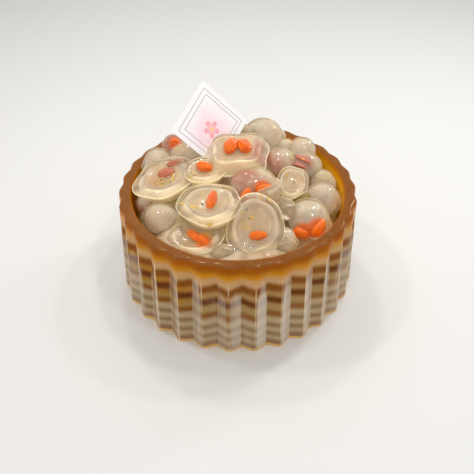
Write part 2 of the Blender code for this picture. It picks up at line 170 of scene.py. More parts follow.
# Fruit pieces. width and depth are across the face, tall is along the facing direction,
# and the facing tilts away from straight up by tilt, towards the bearing called toward.
Fruit = namedtuple("Fruit", "node kind place width depth tall tilt toward turn")
FRUITS = (
    Fruit("cup_crown", "skirted", (-0.0004, 0.0095, 0.0960), 0.041, 0.037, 0.016, 6, 0, 0),
    Fruit("cup_front", "cup", (0.0110, -0.0469, 0.0800), 0.036, 0.043, 0.017, 48, 0, 12),
    Fruit("cup_centre", "cup", (-0.0180, -0.0340, 0.0835), 0.043, 0.036, 0.018, 12, -20, 8),
    Fruit("cup_left", "cup", (-0.0485, 0.0010, 0.0790), 0.044, 0.040, 0.017, 14, -60, -6),
    Fruit("cup_front_left", "cup", (-0.0262, -0.0500, 0.0700), 0.037, 0.029, 0.017, 16, -30, -12),
    Fruit("cup_upper_left", "cup", (-0.0215, -0.0035, 0.0890), 0.029, 0.027, 0.014, 10, -40, 0),
    Fruit("ball_front_right", "ball", (0.0478, -0.0268, 0.0675), 0.032, 0.031, 0.029, 20, 60, 0),
    Fruit("cup_small_right", "cup", (0.0364, -0.0078, 0.0835), 0.023, 0.023, 0.013, 34, 10, 0),
    Fruit("ball_right", "ball", (0.0576, -0.0045, 0.0660), 0.026, 0.027, 0.028, 12, 90, 0),
    Fruit("ball_front_left", "ball", (-0.0506, -0.0256, 0.0655), 0.027, 0.026, 0.027, 10, -60, 0),
    Fruit("block_centre", "rosy", (0.0100, -0.0120, 0.0880), 0.037, 0.024, 0.018, 8, 20, 10),
    Fruit("lump_behind_centre", "rosy", (0.0290, 0.0170, 0.0840), 0.024, 0.022, 0.020, 10, 120, 20),
    Fruit("lump_right_streaked", "ball", (0.0485, 0.0205, 0.0775), 0.024, 0.02, 0.02, 16, 110, 30),
    Fruit("ball_back", "ball", (0.0197, 0.0510, 0.0820), 0.030, 0.030, 0.030, 0, 0, 0),
    Fruit("ball_back_right", "ball", (0.0468, 0.0378, 0.0785), 0.022, 0.022, 0.022, 0, 0, 0),
    Fruit("knob_back_right", "ball", (0.0350, 0.0405, 0.0800), 0.014, 0.014, 0.014, 0, 0, 0),
    Fruit("lump_far_right", "ball", (0.0600, 0.0120, 0.0690), 0.018, 0.024, 0.020, 10, 100, 0),
    Fruit("lump_front_right", "ball", (0.0305, -0.0460, 0.0660), 0.018, 0.017, 0.020, 0, 0, 0),
    Fruit("ball_left_rim", "ball", (-0.0570, 0.0225, 0.0785), 0.023, 0.023, 0.023, 0, 0, 0),
    Fruit("ball_under_card", "ball", (-0.0357, 0.0285, 0.0815), 0.026, 0.024, 0.022, 0, 0, 0),
    Fruit("lump_back_left", "rosy", (-0.0465, 0.0405, 0.0800), 0.018, 0.020, 0.020, 0, 0, 0),
    Fruit("lump_left_rim", "rosy", (-0.0640, -0.0090, 0.0680), 0.012, 0.014, 0.014, 0, 0, 0),
    Fruit("ball_behind_card", "ball", (-0.0070, 0.0520, 0.0790), 0.027, 0.028, 0.027, 0, 0, 0),
    Fruit("ball_back_corner", "ball", (-0.0295, 0.0500, 0.0760), 0.025, 0.025, 0.025, 0, 0, 0),
    Fruit("ball_behind_crown", "ball", (0.0040, 0.0340, 0.0840), 0.021, 0.020, 0.020, 0, 0, 0),
    Fruit("lump_front_fill", "ball", (-0.0050, -0.0575, 0.0655), 0.022, 0.018, 0.018, 0, 0, 0),
    Fruit("lump_back_low", "ball", (0.0360, 0.0500, 0.0640), 0.019, 0.019, 0.019, 0, 0, 0),
)

# Lobes of clear jelly between the fruit, each drawn out to a soft corner
Lobe = namedtuple("Lobe", "place width depth tall tilt toward turn corner")
LOBES = (
    Lobe((0.0195, -0.0270, 0.0885), 0.0170, 0.0120, 0.0090, 30, 10, 10, 40),
    Lobe((0.0060, 0.0475, 0.0845), 0.0180, 0.0160, 0.0180, 10, 0, 0, 160),
    Lobe((0.0290, -0.0270, 0.0775), 0.0190, 0.0170, 0.0110, 20, 20, 0, 20),
    Lobe((0.0600, 0.0080, 0.0775), 0.0110, 0.0100, 0.0060, 10, 60, 0, 45),
    Lobe((0.0290, -0.0560, 0.0715), 0.0150, 0.0130, 0.0110, 14, 20, 0, 300),
    Lobe((-0.0100, -0.0620, 0.0710), 0.0170, 0.0120, 0.0080, 10, 0, 0, 250),
)

# Half outlines of fruit and of the clear jelly round it, radius then height, from the middle
# of the underside round the edge to the middle of the top, which lies in the pit of an opened one
CUP_JELLY = (
    (0.0, -1.0), (0.30, -0.98), (0.55, -0.88), (0.76, -0.62), (0.87, -0.30), (0.93, 0.12),
    (0.985, 0.45), (1.0, 0.52), (0.985, 0.58), (0.90, 0.72), (0.80, 0.82), (0.72, 0.84),
    (0.64, 0.80), (0.56, 0.73), (0.46, 0.67), (0.32, 0.63), (0.16, 0.61), (0.0, 0.61),
)
SKIRTED_JELLY = (
    (0.0, -1.0), (0.34, -0.98), (0.62, -0.90), (0.86, -0.62), (0.985, -0.42), (1.0, -0.375),
    (0.985, -0.32), (0.92, -0.10), (0.86, 0.15), (0.815, 0.48), (0.785, 0.72), (0.74, 0.81),
    (0.68, 0.82), (0.61, 0.78), (0.54, 0.71), (0.44, 0.66), (0.30, 0.62), (0.14, 0.60), (0.0, 0.60),
)
COAT_JELLY = (
    (0.0, -1.0), (0.35, -0.95), (0.65, -0.79), (0.86, -0.52), (0.99, -0.30), (1.075, -0.17),
    (1.08, -0.12), (1.04, -0.06), (0.97, 0.08), (0.93, 0.30), (0.84, 0.54), (0.66, 0.76),
    (0.40, 0.93), (0.18, 0.99), (0.0, 1.0),
)
CUP_FLESH = (
    (0.0, -0.90), (0.30, -0.88), (0.52, -0.78), (0.70, -0.50), (0.80, -0.10), (0.83, 0.20),
    (0.82, 0.48), (0.77, 0.62), (0.70, 0.65), (0.65, 0.58), (0.60, 0.46), (0.52, 0.36),
    (0.40, 0.31), (0.22, 0.28), (0.0, 0.27),
)
SKIRTED_FLESH = (
    (0.0, -0.86), (0.30, -0.84), (0.54, -0.74), (0.70, -0.46), (0.77, -0.10), (0.77, 0.24),
    (0.755, 0.50), (0.72, 0.63), (0.68, 0.65), (0.64, 0.56), (0.59, 0.44), (0.51, 0.35),
    (0.40, 0.30), (0.22, 0.27), (0.0, 0.26),
)
OPENED_OUTLINES = {"cup": (CUP_FLESH, CUP_JELLY), "skirted": (SKIRTED_FLESH, SKIRTED_JELLY)}

# How far the torn lip of an opened fruit waves in and out, as a share of its radius
LIP_RUFFLE = {"cup": 0.030, "skirted": 0.012}

# How uneven the fruit and the lobes are, and how much that shifts from one piece to the next
OPENED_UNEVEN = 0.050
WHOLE_UNEVEN = 0.085
LOBE_UNEVEN = 0.09
FRUIT_SHIFT = 1.7
LOBE_SHIFT = 2.3
BERRY_SHIFT = 1.3
SUNK_SHIFT = 9.0

# Sides round an opened fruit and round a coat. A whole fruit's flesh: its share of the coat's
# size and the depth of its hollow. How far the coat leans, in degrees
OPENED_SIDES = 24
COAT_SIDES = 28
FLESH_SIZE = 0.89
HOLLOW_DEPTH = 0.16
COAT_LEAN = 24.0

# How square the crown is, how far the front one narrows and leans, and the corner of the left one
# and of the lobes: its bearing in degrees and how far it is drawn out
CROWN_SQUARENESS = 0.30
FRONT_TAPER = (0.16, 0.14)
LEFT_CORNER = (205.0, 0.14)
LOBE_CORNER = 0.30

# Faint shells round a pit: how far out they lie and how strong they are
PIT_SHELLS = ((0.53, 0.6), (0.74, 0.9))

# Goji berries that lie in a pit, across and along the face of their host
PitBerry = namedtuple("PitBerry", "node host across along length thick turn pitch")
PIT_BERRIES = (
    PitBerry("goji_crown_left", "cup_crown", -0.0043, 0.0010, 0.0146, 0.0094, 75, 0),
    PitBerry("goji_crown_right", "cup_crown", 0.0044, 0.0012, 0.0135, 0.0086, 118, 0),
    PitBerry("goji_centre", "cup_centre", 0.0020, 0.0015, 0.0140, 0.0068, 65, 22),
    PitBerry("goji_front", "cup_front", 0.0008, -0.0066, 0.0120, 0.0064, -8, 0),
    PitBerry("goji_left", "cup_left", 0.0005, 0.0030, 0.0130, 0.0070, 12, 0),
    PitBerry("goji_front_left", "cup_front_left", 0.0000, 0.0000, 0.0160, 0.0064, -38, 0),
    PitBerry("goji_upper_left", "cup_upper_left", 0.0000, 0.0008, 0.0125, 0.0072, -25, 0),
)

# Goji berries sunk at the face of a piece: the middle, the way they lie, the length and thickness
SunkBerry = namedtuple("SunkBerry", "name place along length thick")
SUNK_BERRIES = (
    SunkBerry("front_right_low", (0.0427, -0.0390, 0.0672), (1.00, -0.29, 0.09), 0.0135, 0.0076),
    SunkBerry("front_right_high", (0.0524, -0.0387, 0.0711), (0.60, 0.53, 0.75), 0.0140, 0.0082),
    SunkBerry("block", (0.0165, -0.0212, 0.0895), (0.95, 0.10, 0.28), 0.0125, 0.0070),
    SunkBerry("middle", (0.0262, -0.0062, 0.0805), (0.85, 0.20, 0.40), 0.0100, 0.0062),
    SunkBerry("strip", (0.0045, -0.0290, 0.0880), (-0.45, -0.55, -0.70), 0.0150, 0.0060),
    SunkBerry("long_pit", (-0.0215, -0.0560, 0.0745), (0.72, -0.66, -0.20), 0.0120, 0.0064),
    SunkBerry("back_left", (-0.0440, 0.0350, 0.0885), (0.85, 0.10, -0.35), 0.0090, 0.0058),
)

# Soaked, paler goji berries, which lie just under the fruit's face at their place across and along
PALE_BERRIES = (
    SunkBerry("left", (-0.0425, 0.0120), (0.93, 0.25, 0.10), 0.0140, 0.0060),
    SunkBerry("far", (0.0455, 0.0180), (0.80, -0.59, -0.12), 0.0125, 0.0042),
    SunkBerry("near", (0.0435, 0.0128), (0.93, -0.30, -0.20), 0.0100, 0.0032),
)

# How much of their thickness the pale berries sink, how far a berry in a pit is lifted off the
# middle of its host, and which of those is pale
PALE_SINKING = 0.42
PIT_LIFT = 0.0018
PALE_IN_PIT = "goji_left"

# How far the colour of a sunk berry bleeds into what is round it, and where it is strongest
BLEED_REACH = 0.0075
BLEED_REACH_FRONT_RIGHT = 0.0088
BLEED_CORE = 0.0042
BLEEDS = tuple(
    (
        berry.place,
        BLEED_REACH_FRONT_RIGHT if berry.name.startswith("front_right") else BLEED_REACH,
        BLEED_CORE,
    )
    for berry in SUNK_BERRIES
)

# Where the fruit is stained pink by the berries and how far the stain reaches, and the share of
# that reach where it is strongest
STAIN_CORE = 0.35
BLUSH_PLACES = (
    ((0.0155, 0.0060, 0.1000), 0.0145),
    ((-0.0560, -0.0020, 0.0850), 0.0100),
    ((-0.0130, -0.0110, 0.0860), 0.0090),
    ((-0.0440, 0.0420, 0.0860), 0.0120),
    ((0.0470, 0.0160, 0.0860), 0.0100),
    ((-0.0230, -0.0580, 0.0740), 0.0070),
    ((0.0100, -0.0360, 0.0880), 0.0080),
)
STAINS = tuple((place, reach, STAIN_CORE * reach) for place, reach in BLUSH_PLACES)

# Where osmanthus flecks and dark specks lie: the middle of a patch, its reach and how many
Patch = namedtuple("Patch", "x y reach count")
FLECK_PATCHES = (
    Patch(-0.0460, -0.0040, 0.0075, 16),
    Patch(-0.0290, -0.0130, 0.0050, 9),
    Patch(-0.0560, -0.0060, 0.0060, 5),
    Patch(0.0056, -0.0490, 0.0045, 9),
    Patch(-0.0310, -0.0400, 0.0060, 8),
    Patch(-0.0170, -0.0560, 0.0050, 5),
    Patch(0.0170, -0.0400, 0.0040, 5),
    Patch(0.0330, -0.0060, 0.0050, 4),
    Patch(-0.0020, 0.0060, 0.0120, 5),
    Patch(0.0400, 0.0120, 0.0120, 6),
)
SPECK_PATCHES = (
    Patch(0.0314, -0.0277, 0.0003, 1),
    Patch(0.0370, -0.0098, 0.0020, 2),
    Patch(-0.0227, -0.0361, 0.0012, 2),
    Patch(-0.0480, -0.0020, 0.0060, 5),
    Patch(-0.0300, -0.0100, 0.0050, 3),
    Patch(0.0060, -0.0480, 0.0040, 2),
)

# The least and the greatest size of a petal and of a speck, and their shapes
PETAL_SIZES = (0.00048, 0.00085)
PETAL_SHAPE = (0.95, 0.62, 0.35)
SPECK_SIZES = (0.00038, 0.00062)
SPECK_SHAPE = (1.6, 0.8, 0.6)

# The card: its size, the corner that it stands on, and how it leans, in degrees
CARD_SIDE = 0.0440
CARD_THICKNESS = 0.00048
CARD_FOOT = Vector((-0.0130, 0.0110, 0.0815))
CARD_LEAN_BACK = 41.0
CARD_TURN = 33.0
CARD_ROLL = 12.3

# What is on the card: the middle and half width of its square borders, and the blossom's place
CARD_BORDERS = ((0.50, 0.50, 0.415), (0.512, 0.49, 0.345))
BLOSSOM_PLACE = (0.46, 0.46)

# Square lights: the name, place, side in metres, the setting with the power, and whether it
# shows in gloss
LIGHTS = (
    ("key_light", (-0.15, 0.42, 0.62), 0.50, "key", False),
    ("left_light", (-0.70, -0.10, 0.30), 0.45, "side", False),
    ("right_light", (0.70, -0.05, 0.30), 0.45, "side", False),
    ("front_light", (-0.10, -0.80, 0.55), 0.60, "front", False),
    ("back_light", (0.42, 0.36, 0.40), 0.10, "back", True),
)
SKY_TINT = (1.0, 0.985, 0.96, 1.0)

# Small ceiling lights that glint on the wet fruit: the side of each and their places
GLINT_SIDE = 0.045
GLINT_PLACES = (
    (-0.24, 0.06, 0.56),
    (-0.08, 0.26, 0.60),
    (0.10, 0.10, 0.64),
    (0.26, 0.20, 0.56),
    (0.16, -0.16, 0.62),
)

# Where the lights aim, where the camera stands and aims, and its lens in millimetres
LIGHT_AIM = Vector((0.0, 0.0, 0.06))
CAMERA_PLACE = Vector((-0.000434, -0.374542, 0.360096))
CAMERA_AIM = Vector((-0.000434, 0.0, 0.028865))
CAMERA_LENS = 51.55


def colour_setting(name, description, red, green, blue):
    """Return a colour setting, from the colour as it looks on a screen."""
    return FloatVectorProperty(
        name=name, description=description, default=seen(red, green, blue), subtype="COLOR",
    )


def length_setting(name, description, default, low, high):
    """Return a length setting, in metres."""
    return FloatProperty(
        name=name, description=description, default=default, min=low, max=high, unit="LENGTH",
    )


def power_setting(name, description, default, high=50.0):
    """Return the power of a light, in watts."""
    return FloatProperty(
        name=name, description=description, default=default, min=0.0, max=high, unit="POWER",
    )


class JellyCakeBody(PropertyGroup):
    """The moulded body: its sizes and the colours of its set layers."""

    flute_depth: length_setting(
        "Flute depth", "How far the valleys lie behind the tips", 0.0046, 0.0, 0.01)
    tip_softness: FloatProperty(
        name="Tip softness", description="How much of a flute is rounded at its tip",
        default=0.045, min=0.01, max=0.2, subtype="FACTOR",
    )
    band_softness: length_setting(
        "Band softness", "How far two set layers run into each other", 0.0034, 0.0, 0.0044)
    honey: colour_setting("Honey edge", "Colour of the thin edge at the underside", 240, 186, 74)
    mauve: colour_setting("Mauve layer", "Colour of the lowest thick layer", 138, 98, 72)
    coconut: colour_setting("Coconut layer", "Colour of the milky layers", 178, 154, 118)
    taupe: colour_setting("Taupe layer", "Colour of the pale brown layers", 128, 100, 68)
    toasted_coconut: colour_setting(
        "Toasted coconut layer", "Colour of the milky layer half way up", 160, 129, 80)
    golden: colour_setting("Golden layer", "Colour of the thin golden layer", 170, 130, 78)
    brown_sugar: colour_setting("Brown sugar layer", "Colour of the brown sugar layers", 130, 72, 0)
    dark_sugar: colour_setting("Dark sugar layer", "Colour of the darkest layer", 100, 48, 0)
    cream: colour_setting("Cream layer", "Colour of the milky layer under the amber", 194, 152, 106)
    amber_low: colour_setting(
        "Amber, low", "Colour of the amber jelly where it meets the cream layer", 200, 134, 8)
    amber_high: colour_setting("Amber, high", "Colour of the amber jelly near the rim", 152, 78, 0)
    amber_top: colour_setting("Rim top", "Colour of the flat top of the rim", 122, 72, 32)
    # The recess wall's colour where light falls on it; the wall is painted darker away from the
    # right and front.
    lit_recess_wall: colour_setting(
        "Recess wall", "Colour of the amber wall inside the rim", 244, 178, 30)


class JellyCakeHeap(PropertyGroup):
    """The heap: the colours of its fruit, jelly and berries."""

    flesh: colour_setting("Fruit flesh", "Colour of the peeled fruit", 194, 183, 160)
    flesh_shade: colour_setting("Fruit shade", "Colour of the thicker, greyer fruit", 182, 169, 149)
    flesh_cream: colour_setting("Fruit cream", "Colour of the creamier fruit", 204, 176, 132)
    flesh_blush: colour_setting(
        "Fruit blush", "Colour of fruit stained by the berries", 170, 110, 94)
    clear_jelly: colour_setting(
        "Clear jelly", "Colour of the clear jelly round the fruit", 204, 184, 146)
    bed_jelly: colour_setting(
        "Bed jelly", "Colour of the clear jelly seen deep in the heap", 150, 128, 70)
    berry: colour_setting("Berry", "Colour of the soaked goji berries", 240, 104, 4)
    berry_dark: colour_setting("Berry folds", "Colour of the folds of the berries", 168, 38, 0)
    sinking: length_setting(
        "Sinking", "How far the jelly between the fruit stands below its tops", 0.0060, 0.0, 0.03)
    brim: length_setting(
        "Brim", "How high the jelly stands against the rim in front", 0.0722, 0.05, 0.075)
    seed: IntProperty(name="Seed", description="Which scatter of flecks is used", default=7, min=0)


class JellyCakeCard(PropertyGroup):
    """The small card that stands in the heap."""

    paper: colour_setting("Paper", "Colour of the card", 240, 238, 239)
    wash: colour_setting("Wash", "Colour of the pale wash", 240, 214, 222)
    line: colour_setting("Border", "Colour of the thin borders", 150, 148, 150)
    petal: colour_setting("Petal", "Colour of the blossom", 232, 150, 158)


class JellyCakeStage(PropertyGroup):
    """The floor and the lights."""

    floor: colour_setting("Floor", "Colour of the floor", 219, 218, 215)
    sky: FloatProperty(
        name="Sky", description="Strength of the even light", default=0.44, min=0.0, max=4.0,
    )
    key: power_setting("Key light", "Power of the large light behind the cake", 1.05)
    side: power_setting("Side lights", "Power of each side light", 0.75)
    front: power_setting("Front light", "Power of the soft light in front", 2.4)
    back: power_setting("Back light", "Power of the low light behind the cake", 0.6)
    glint: power_setting("Glints", "Power of each small light that glints on the jelly", 0.45, 5.0)


class Wire:
    """A socket in a material's node tree that Python's operators work on."""

    def __init__(self, tree, socket=None):
        self.tree = tree
        self.socket = socket

    def node(self, kind, settings=None, feeds=None, outlet=0):
        """Add a node, set it, then feed its inputs. Return one of its outputs."""
        made = self.tree.nodes.new(kind)
        for name, setting in (settings or {}).items():
            if name == "stops":
                place_stops(made.color_ramp, setting)
            else:
                setattr(made, name, setting)
        for key, feed in (feeds or {}).items():
            if isinstance(feed, Wire):
                self.tree.links.new(feed.socket, made.inputs[key])
            else:
                made.inputs[key].default_value = feed
        return Wire(self.tree, made.outputs[outlet]) if made.outputs else None

    def maths(self, operation, first, second=0.0):
        """Work on one or two values."""
        return self.node("ShaderNodeMath", {"operation": operation}, {0: first, 1: second})

    def __add__(self, other):
        return self.maths("ADD", self, other)

    def __radd__(self, other):
        return self.maths("ADD", other, self)

    def __sub__(self, other):
        return self.maths("SUBTRACT", self, other)

    def __rsub__(self, other):
        return self.maths("SUBTRACT", other, self)

    def __mul__(self, other):
        return self.maths("MULTIPLY", self, other)

    def __rmul__(self, other):
        return self.maths("MULTIPLY", other, self)

    def __truediv__(self, other):
        return self.maths("DIVIDE", self, other)

    def __rtruediv__(self, other):
        return self.maths("DIVIDE", other, self)

    def __abs__(self):
        return self.maths("ABSOLUTE", self)

    def clamped(self):
        """Keep the value between 0 and 1."""
        return self.node("ShaderNodeClamp", feeds={"Value": self})

    def rise(self, low, high):
        """Go softly from 0 at low to 1 at high."""
        return self.node(
            "ShaderNodeMapRange", {"interpolation_type": "SMOOTHSTEP"},
            {"Value": self, "From Min": low, "From Max": high},
        )

    def ramp(self, stops):
        """Colour the value, from stops of place and colour."""
        return self.node("ShaderNodeValToRGB", {"stops": stops}, {"Fac": self}, "Color")

    def tint(self, start, end, blend="MIX"):
        """Mix two colours, with this value as the share of the second."""
        settings = {"data_type": "RGBA", "blend_type": blend}
        return self.node("ShaderNodeMix", settings, {0: self, 6: solid(start), 7: solid(end)}, 2)

    def blend(self, under, over):
        """Mix two shaders, with this value as the share of the second."""
        return self.node("ShaderNodeMixShader", feeds={0: self, 1: under, 2: over})

    def split(self):
        """Return the three parts of a vector."""
        parted = self.node("ShaderNodeSeparateXYZ", feeds={"Vector": self}, outlet="X")
        outputs = parted.socket.node.outputs
        return tuple(Wire(self.tree, outputs[axis]) for axis in "XYZ")

    def stretched(self, factors):
        """Scale a vector along its axes."""
        return self.node("ShaderNodeVectorMath", {"operation": "MULTIPLY"}, {0: self, 1: factors})

    def distance(self, point):
        """Return how far a vector is from a point."""
        settings = {"operation": "DISTANCE"}
        return self.node("ShaderNodeVectorMath", settings, {0: self, 1: point}, "Value")

    def cloud(self, scale, detail=2.0, roughness=0.5):
        """Return soft noise from 0 to 1."""
        feeds = {"Vector": self, "Scale": scale, "Detail": detail, "Roughness": roughness}
        return self.node("ShaderNodeTexNoise", feeds=feeds)

    def bump(self, height, strength, depth):
        """Return a normal that follows a height."""
        feeds = {"Strength": strength, "Distance": depth, "Height": height}
        return self.node("ShaderNodeBump", feeds=feeds)


def solid(colour):
    """Return a colour with its alpha, or the wire that it already is."""
    return colour if isinstance(colour, Wire) else (*tuple(colour)[:3], 1.0)


def place_stops(ramp, stops):
    """Put colour stops on a ramp, in the order of their places."""
    while len(ramp.elements) < len(stops):
        ramp.elements.new(1.0)
    for element, (place, colour) in zip(ramp.elements, stops):
        element.position = place
        element.color = solid(colour)


def begin_material(name):
    """Return a new material, a wire in its empty tree, and its place in Object coordinates."""
    material = bpy.data.materials.new(name)
    material.use_nodes = True
    material.node_tree.nodes.clear()
    start = Wire(material.node_tree)
    return material, start, start.node("ShaderNodeTexCoord", outlet="Object")


def end_material(material, shader):
    """Send a shader to the material's output."""
    shader.node("ShaderNodeOutputMaterial", feeds={"Surface": shader})
    return material


def own_place(start):
    """Return the place on the piece's own unit shape, which its mesh keeps."""
    return start.node("ShaderNodeAttribute", {"attribute_name": "own_place"}, outlet="Vector")


def from_axis(x, y):
    """Return how far a place lies from the upright axis."""
    return x.maths("SQRT", x * x + y * y)


def edge_on(start):
    """Return how far the surface turns its edge to the eye."""
    return start.node("ShaderNodeLayerWeight", feeds={"Blend": 0.5}, outlet="Facing")


def near(place, spots):
    """Return 1 close to some spots and 0 beyond them, from their places and two reaches."""
    total = 0.0
    for spot, outer, inner in spots:
        total = total + place.distance(spot).rise(outer, inner)
    return total.clamped()


def principled(start, feeds):
    """Return a Principled shader."""
    return start.node("ShaderNodeBsdfPrincipled", feeds=feeds, outlet="BSDF")


def milky(start, paint, painted_glow, share, radius, feeds=None):
    """Return cloudy jelly or flesh, lit through, with a faint painted glow of its own colour:
    emitted light that stands in for light scattered inside.
    """
    return principled(start, {
        "Base Color": paint, "Roughness": 0.35, "IOR": 1.36, "Specular IOR Level": 0.2,
        "Subsurface Weight": share, "Subsurface Radius": radius, "Subsurface Scale": 1.0,
        "Emission Color": paint, "Emission Strength": painted_glow, **(feeds or {}),
    })


def glassy(start, roughness, ior, normal):
    """Return clear jelly that bends light."""
    return principled(start, {
        "Base Color": solid(seen(255, 250, 236)), "Roughness": roughness, "IOR": ior,
        "Transmission Weight": 1.0, "Normal": normal,
    })


def gloss(start, tone, roughness, normal):
    """Return a plain gloss."""
    feeds = {"Color": solid(tone), "Roughness": roughness, "Normal": normal}
    return start.node("ShaderNodeBsdfAnisotropic", feeds=feeds, outlet="BSDF")


def wet(body, normal, roughness, amount=1.0, tone=(1.0, 1.0, 1.0)):
    """Lay a wet gloss over a shader."""
    share = body.node("ShaderNodeFresnel", feeds={"IOR": 1.42, "Normal": normal}) * amount
    return share.blend(body, gloss(body, tone, roughness, normal))


def amber_edge(body):
    """Return the colour half way between the cream layer and the foot of the amber jelly."""
    return tuple(0.5 * (cream + amber) for cream, amber in zip(body.cream, body.amber_low))


def band_stops(body):
    """Return the places and colours of the set layers, as shares of the way up to the rim."""
    stops = []
    for layer in LAYERS:
        half_soft = min(0.5 * body.band_softness, 0.47 * (layer.top - layer.bottom))
        colour = getattr(body, layer.finish)
        stops.append(((layer.bottom + half_soft) / RIM_BOTTOM, colour))
        stops.append(((layer.top - half_soft) / RIM_BOTTOM, colour))
    stops[-1] = (CREAM_TOP, body.cream)
    return stops + [(1.0, amber_edge(body))]


def layered_jelly(body):
    """Glossy set jelly in soft bands, with painted highlights along the tips, a painted sheen on
    the right flanks, painted shade on the left, and a milky film on flanks that turn away.
    """
    material, start, place = begin_material("layered_jelly")
    x, y, z = place.split()
    wander = place.cloud(38.0, 2.0) - 0.5
    fine_wander = place.cloud(210.0, 2.0) - 0.5
    height = z + wander * 0.0024 + fine_wander * 0.0010
    bearing = start.maths("ARCTAN2", x, 0.0 - y) * (180.0 / math.pi)
    slope = start.maths("FRACT", (bearing - FIRST_FLUTE_BEARING) / PITCH + 0.5) - 0.5
    from_tip = abs(slope) * 2.0
    point_height = z + 0.011 * abs(from_tip - 0.5) + wander * 0.004
    streak = place.stretched((90.0, 90.0, 14.0)).cloud(3.0, 3.0)
    paint = (height / RIM_BOTTOM).ramp(band_stops(body))
    # Painted shade: darker, deeper golden on the left side, between these heights.
    painted_left_shade = bearing.rise(-16.0, -26.0)
    painted_left_shade = painted_left_shade * height.rise(0.0330, 0.0400) * height.rise(0.0560, 0.0520)
    paint = (0.85 * painted_left_shade).tint(paint, (1.0, 0.72, 0.08), "MULTIPLY")
    veil = (height + slope * 0.004).rise(0.0335, 0.0295)
    paint = (0.14 * veil).tint(paint, seen(176, 154, 124))
    # Painted sheen: a milky reflection on the right flank of each flute, below the upper bands,
    # except round the front left.
    right_flank = slope.rise(0.03, 0.08) * slope.rise(0.49, 0.45)
    round_the_cake = bearing.rise(-18.0, 14.0) + bearing.rise(-70.0, -110.0)
    painted_right_sheen = right_flank * round_the_cake * point_height.rise(0.0570, 0.0500)
    paint = (0.44 * painted_right_sheen).tint(paint, seen(238, 228, 212))
    # Painted highlight: thin pale lines along the flute tips, broken up and stronger away from the
    # front.
    painted_tip_highlight = from_tip.rise(0.085, 0.02) * z.rise(0.0640, 0.0560)
    painted_tip_highlight = painted_tip_highlight * (0.12 + 0.70 * streak.rise(0.36, 0.64))
    painted_tip_highlight = painted_tip_highlight * (0.45 + 0.55 * abs(bearing).rise(14.0, 34.0))
    paint = painted_tip_highlight.tint(paint, seen(240, 224, 192))
    mottle = place.cloud(420.0, 4.0, 0.6).rise(0.30, 0.75)
    paint = (0.05 * mottle).tint(paint, seen(214, 190, 148))
    foot = (z + wander * 0.0014 + fine_wander * 0.0006).rise(0.0028, 0.0016)
    paint = foot.tint(paint, body.honey)
    normal = start.bump(streak + 0.5 * place.cloud(160.0, 3.0), 0.25, 0.0006)
    jelly = principled(start, {
        "Base Color": paint, "Roughness": 0.20 + 0.14 * streak, "IOR": 1.36, "Normal": normal,
        "Specular IOR Level": 0.05, "Subsurface Weight": 0.2,
        "Subsurface Radius": (0.0025, 0.0018, 0.0012), "Subsurface Scale": 0.5,
    })
    facing = edge_on(start)
    low_film = facing.rise(0.372, 0.415) * point_height.rise(0.0530, 0.0480) * 0.22
    side_film = facing.rise(0.450, 0.530) * point_height.rise(0.0640, 0.0590) * 0.44
    front_film = side_film * bearing.rise(-46.0, -24.0) * bearing.rise(74.0, 44.0)
    film = start.maths("MAXIMUM", low_film, front_film) * (0.85 + 0.25 * streak) * (1.0 - foot)
    skin = film.blend(jelly, gloss(start, seen(234, 226, 216), 0.34, normal))
    ripple = start.bump(place.cloud(130.0, 1.0), 0.5, 0.0016)
    return end_material(material, wet(skin, ripple, 0.09, 0.22, (1.0, 0.74, 0.36)))


def amber_jelly(body):
    """Clear amber jelly: brighter where it is thin, brown and soft on the flat top, with painted
    light on the recess wall and a painted reflection on the left of the top.
    """
    material, start, place = begin_material("amber_jelly")
    x, y, z = place.split()
    radius = from_axis(x, y)
    drift = place.cloud(26.0, 3.0)
    sway = drift - 0.5
    outside = (z + sway * 0.002).rise(0.0640, 0.0675).tint(amber_edge(body), body.amber_low)
    outside = (z + sway * 0.003).rise(0.0656, 0.0728).tint(outside, body.amber_high)
    depth = place.cloud(60.0, 3.0).rise(0.45, 0.75)
    outside = (0.35 * depth).tint(outside, seen(176, 98, 4))
    # Painted light: the recess wall is lighter towards the right and the front, and a darker amber
    # elsewhere.
    lit = (x * 11.0 - y * 2.0 + 0.25 + drift * 0.3).clamped()
    wall = lit.tint(seen(176, 108, 10), body.lit_recess_wall)
    wall = (z + sway * 0.004).rise(0.0700, 0.0745).tint(wall, seen(196, 124, 12))
    inside = radius.rise(0.0750, 0.0742) * z.rise(0.0752, 0.0742)
    paint = inside.tint(outside, wall)
    speckle = place.cloud(300.0, 3.0).rise(0.35, 0.7)
    # The flat top is speckled at random, and paler and milkier towards the left: a painted
    # reflection of the sky.
    cap_paint = (0.35 * speckle + 0.3 * x.rise(0.0, -0.07)).tint(body.amber_top, seen(136, 90, 50))
    cap = (z + sway * 0.001).rise(0.0734, 0.0751) * radius.rise(0.0738, 0.0744)
    paint = cap.tint(paint, cap_paint)
    dents = place.cloud(120.0, 2.0) + 0.4 * place.cloud(420.0, 2.0)
    jelly = principled(start, {
        "Base Color": paint, "Roughness": 0.14 + 0.16 * speckle, "IOR": 1.38,
        "Specular IOR Level": 0.05, "Normal": start.bump(dents, 0.12, 0.0006),
        "Subsurface Weight": 0.3, "Subsurface Radius": (0.003, 0.0018, 0.0006),
        "Subsurface Scale": 0.5,
    })
    ripple = start.bump(place.cloud(90.0, 1.0), 0.5, 0.0012)
    return end_material(material, wet(jelly, ripple, 0.07, 0.42, (1.0, 0.70, 0.30)))


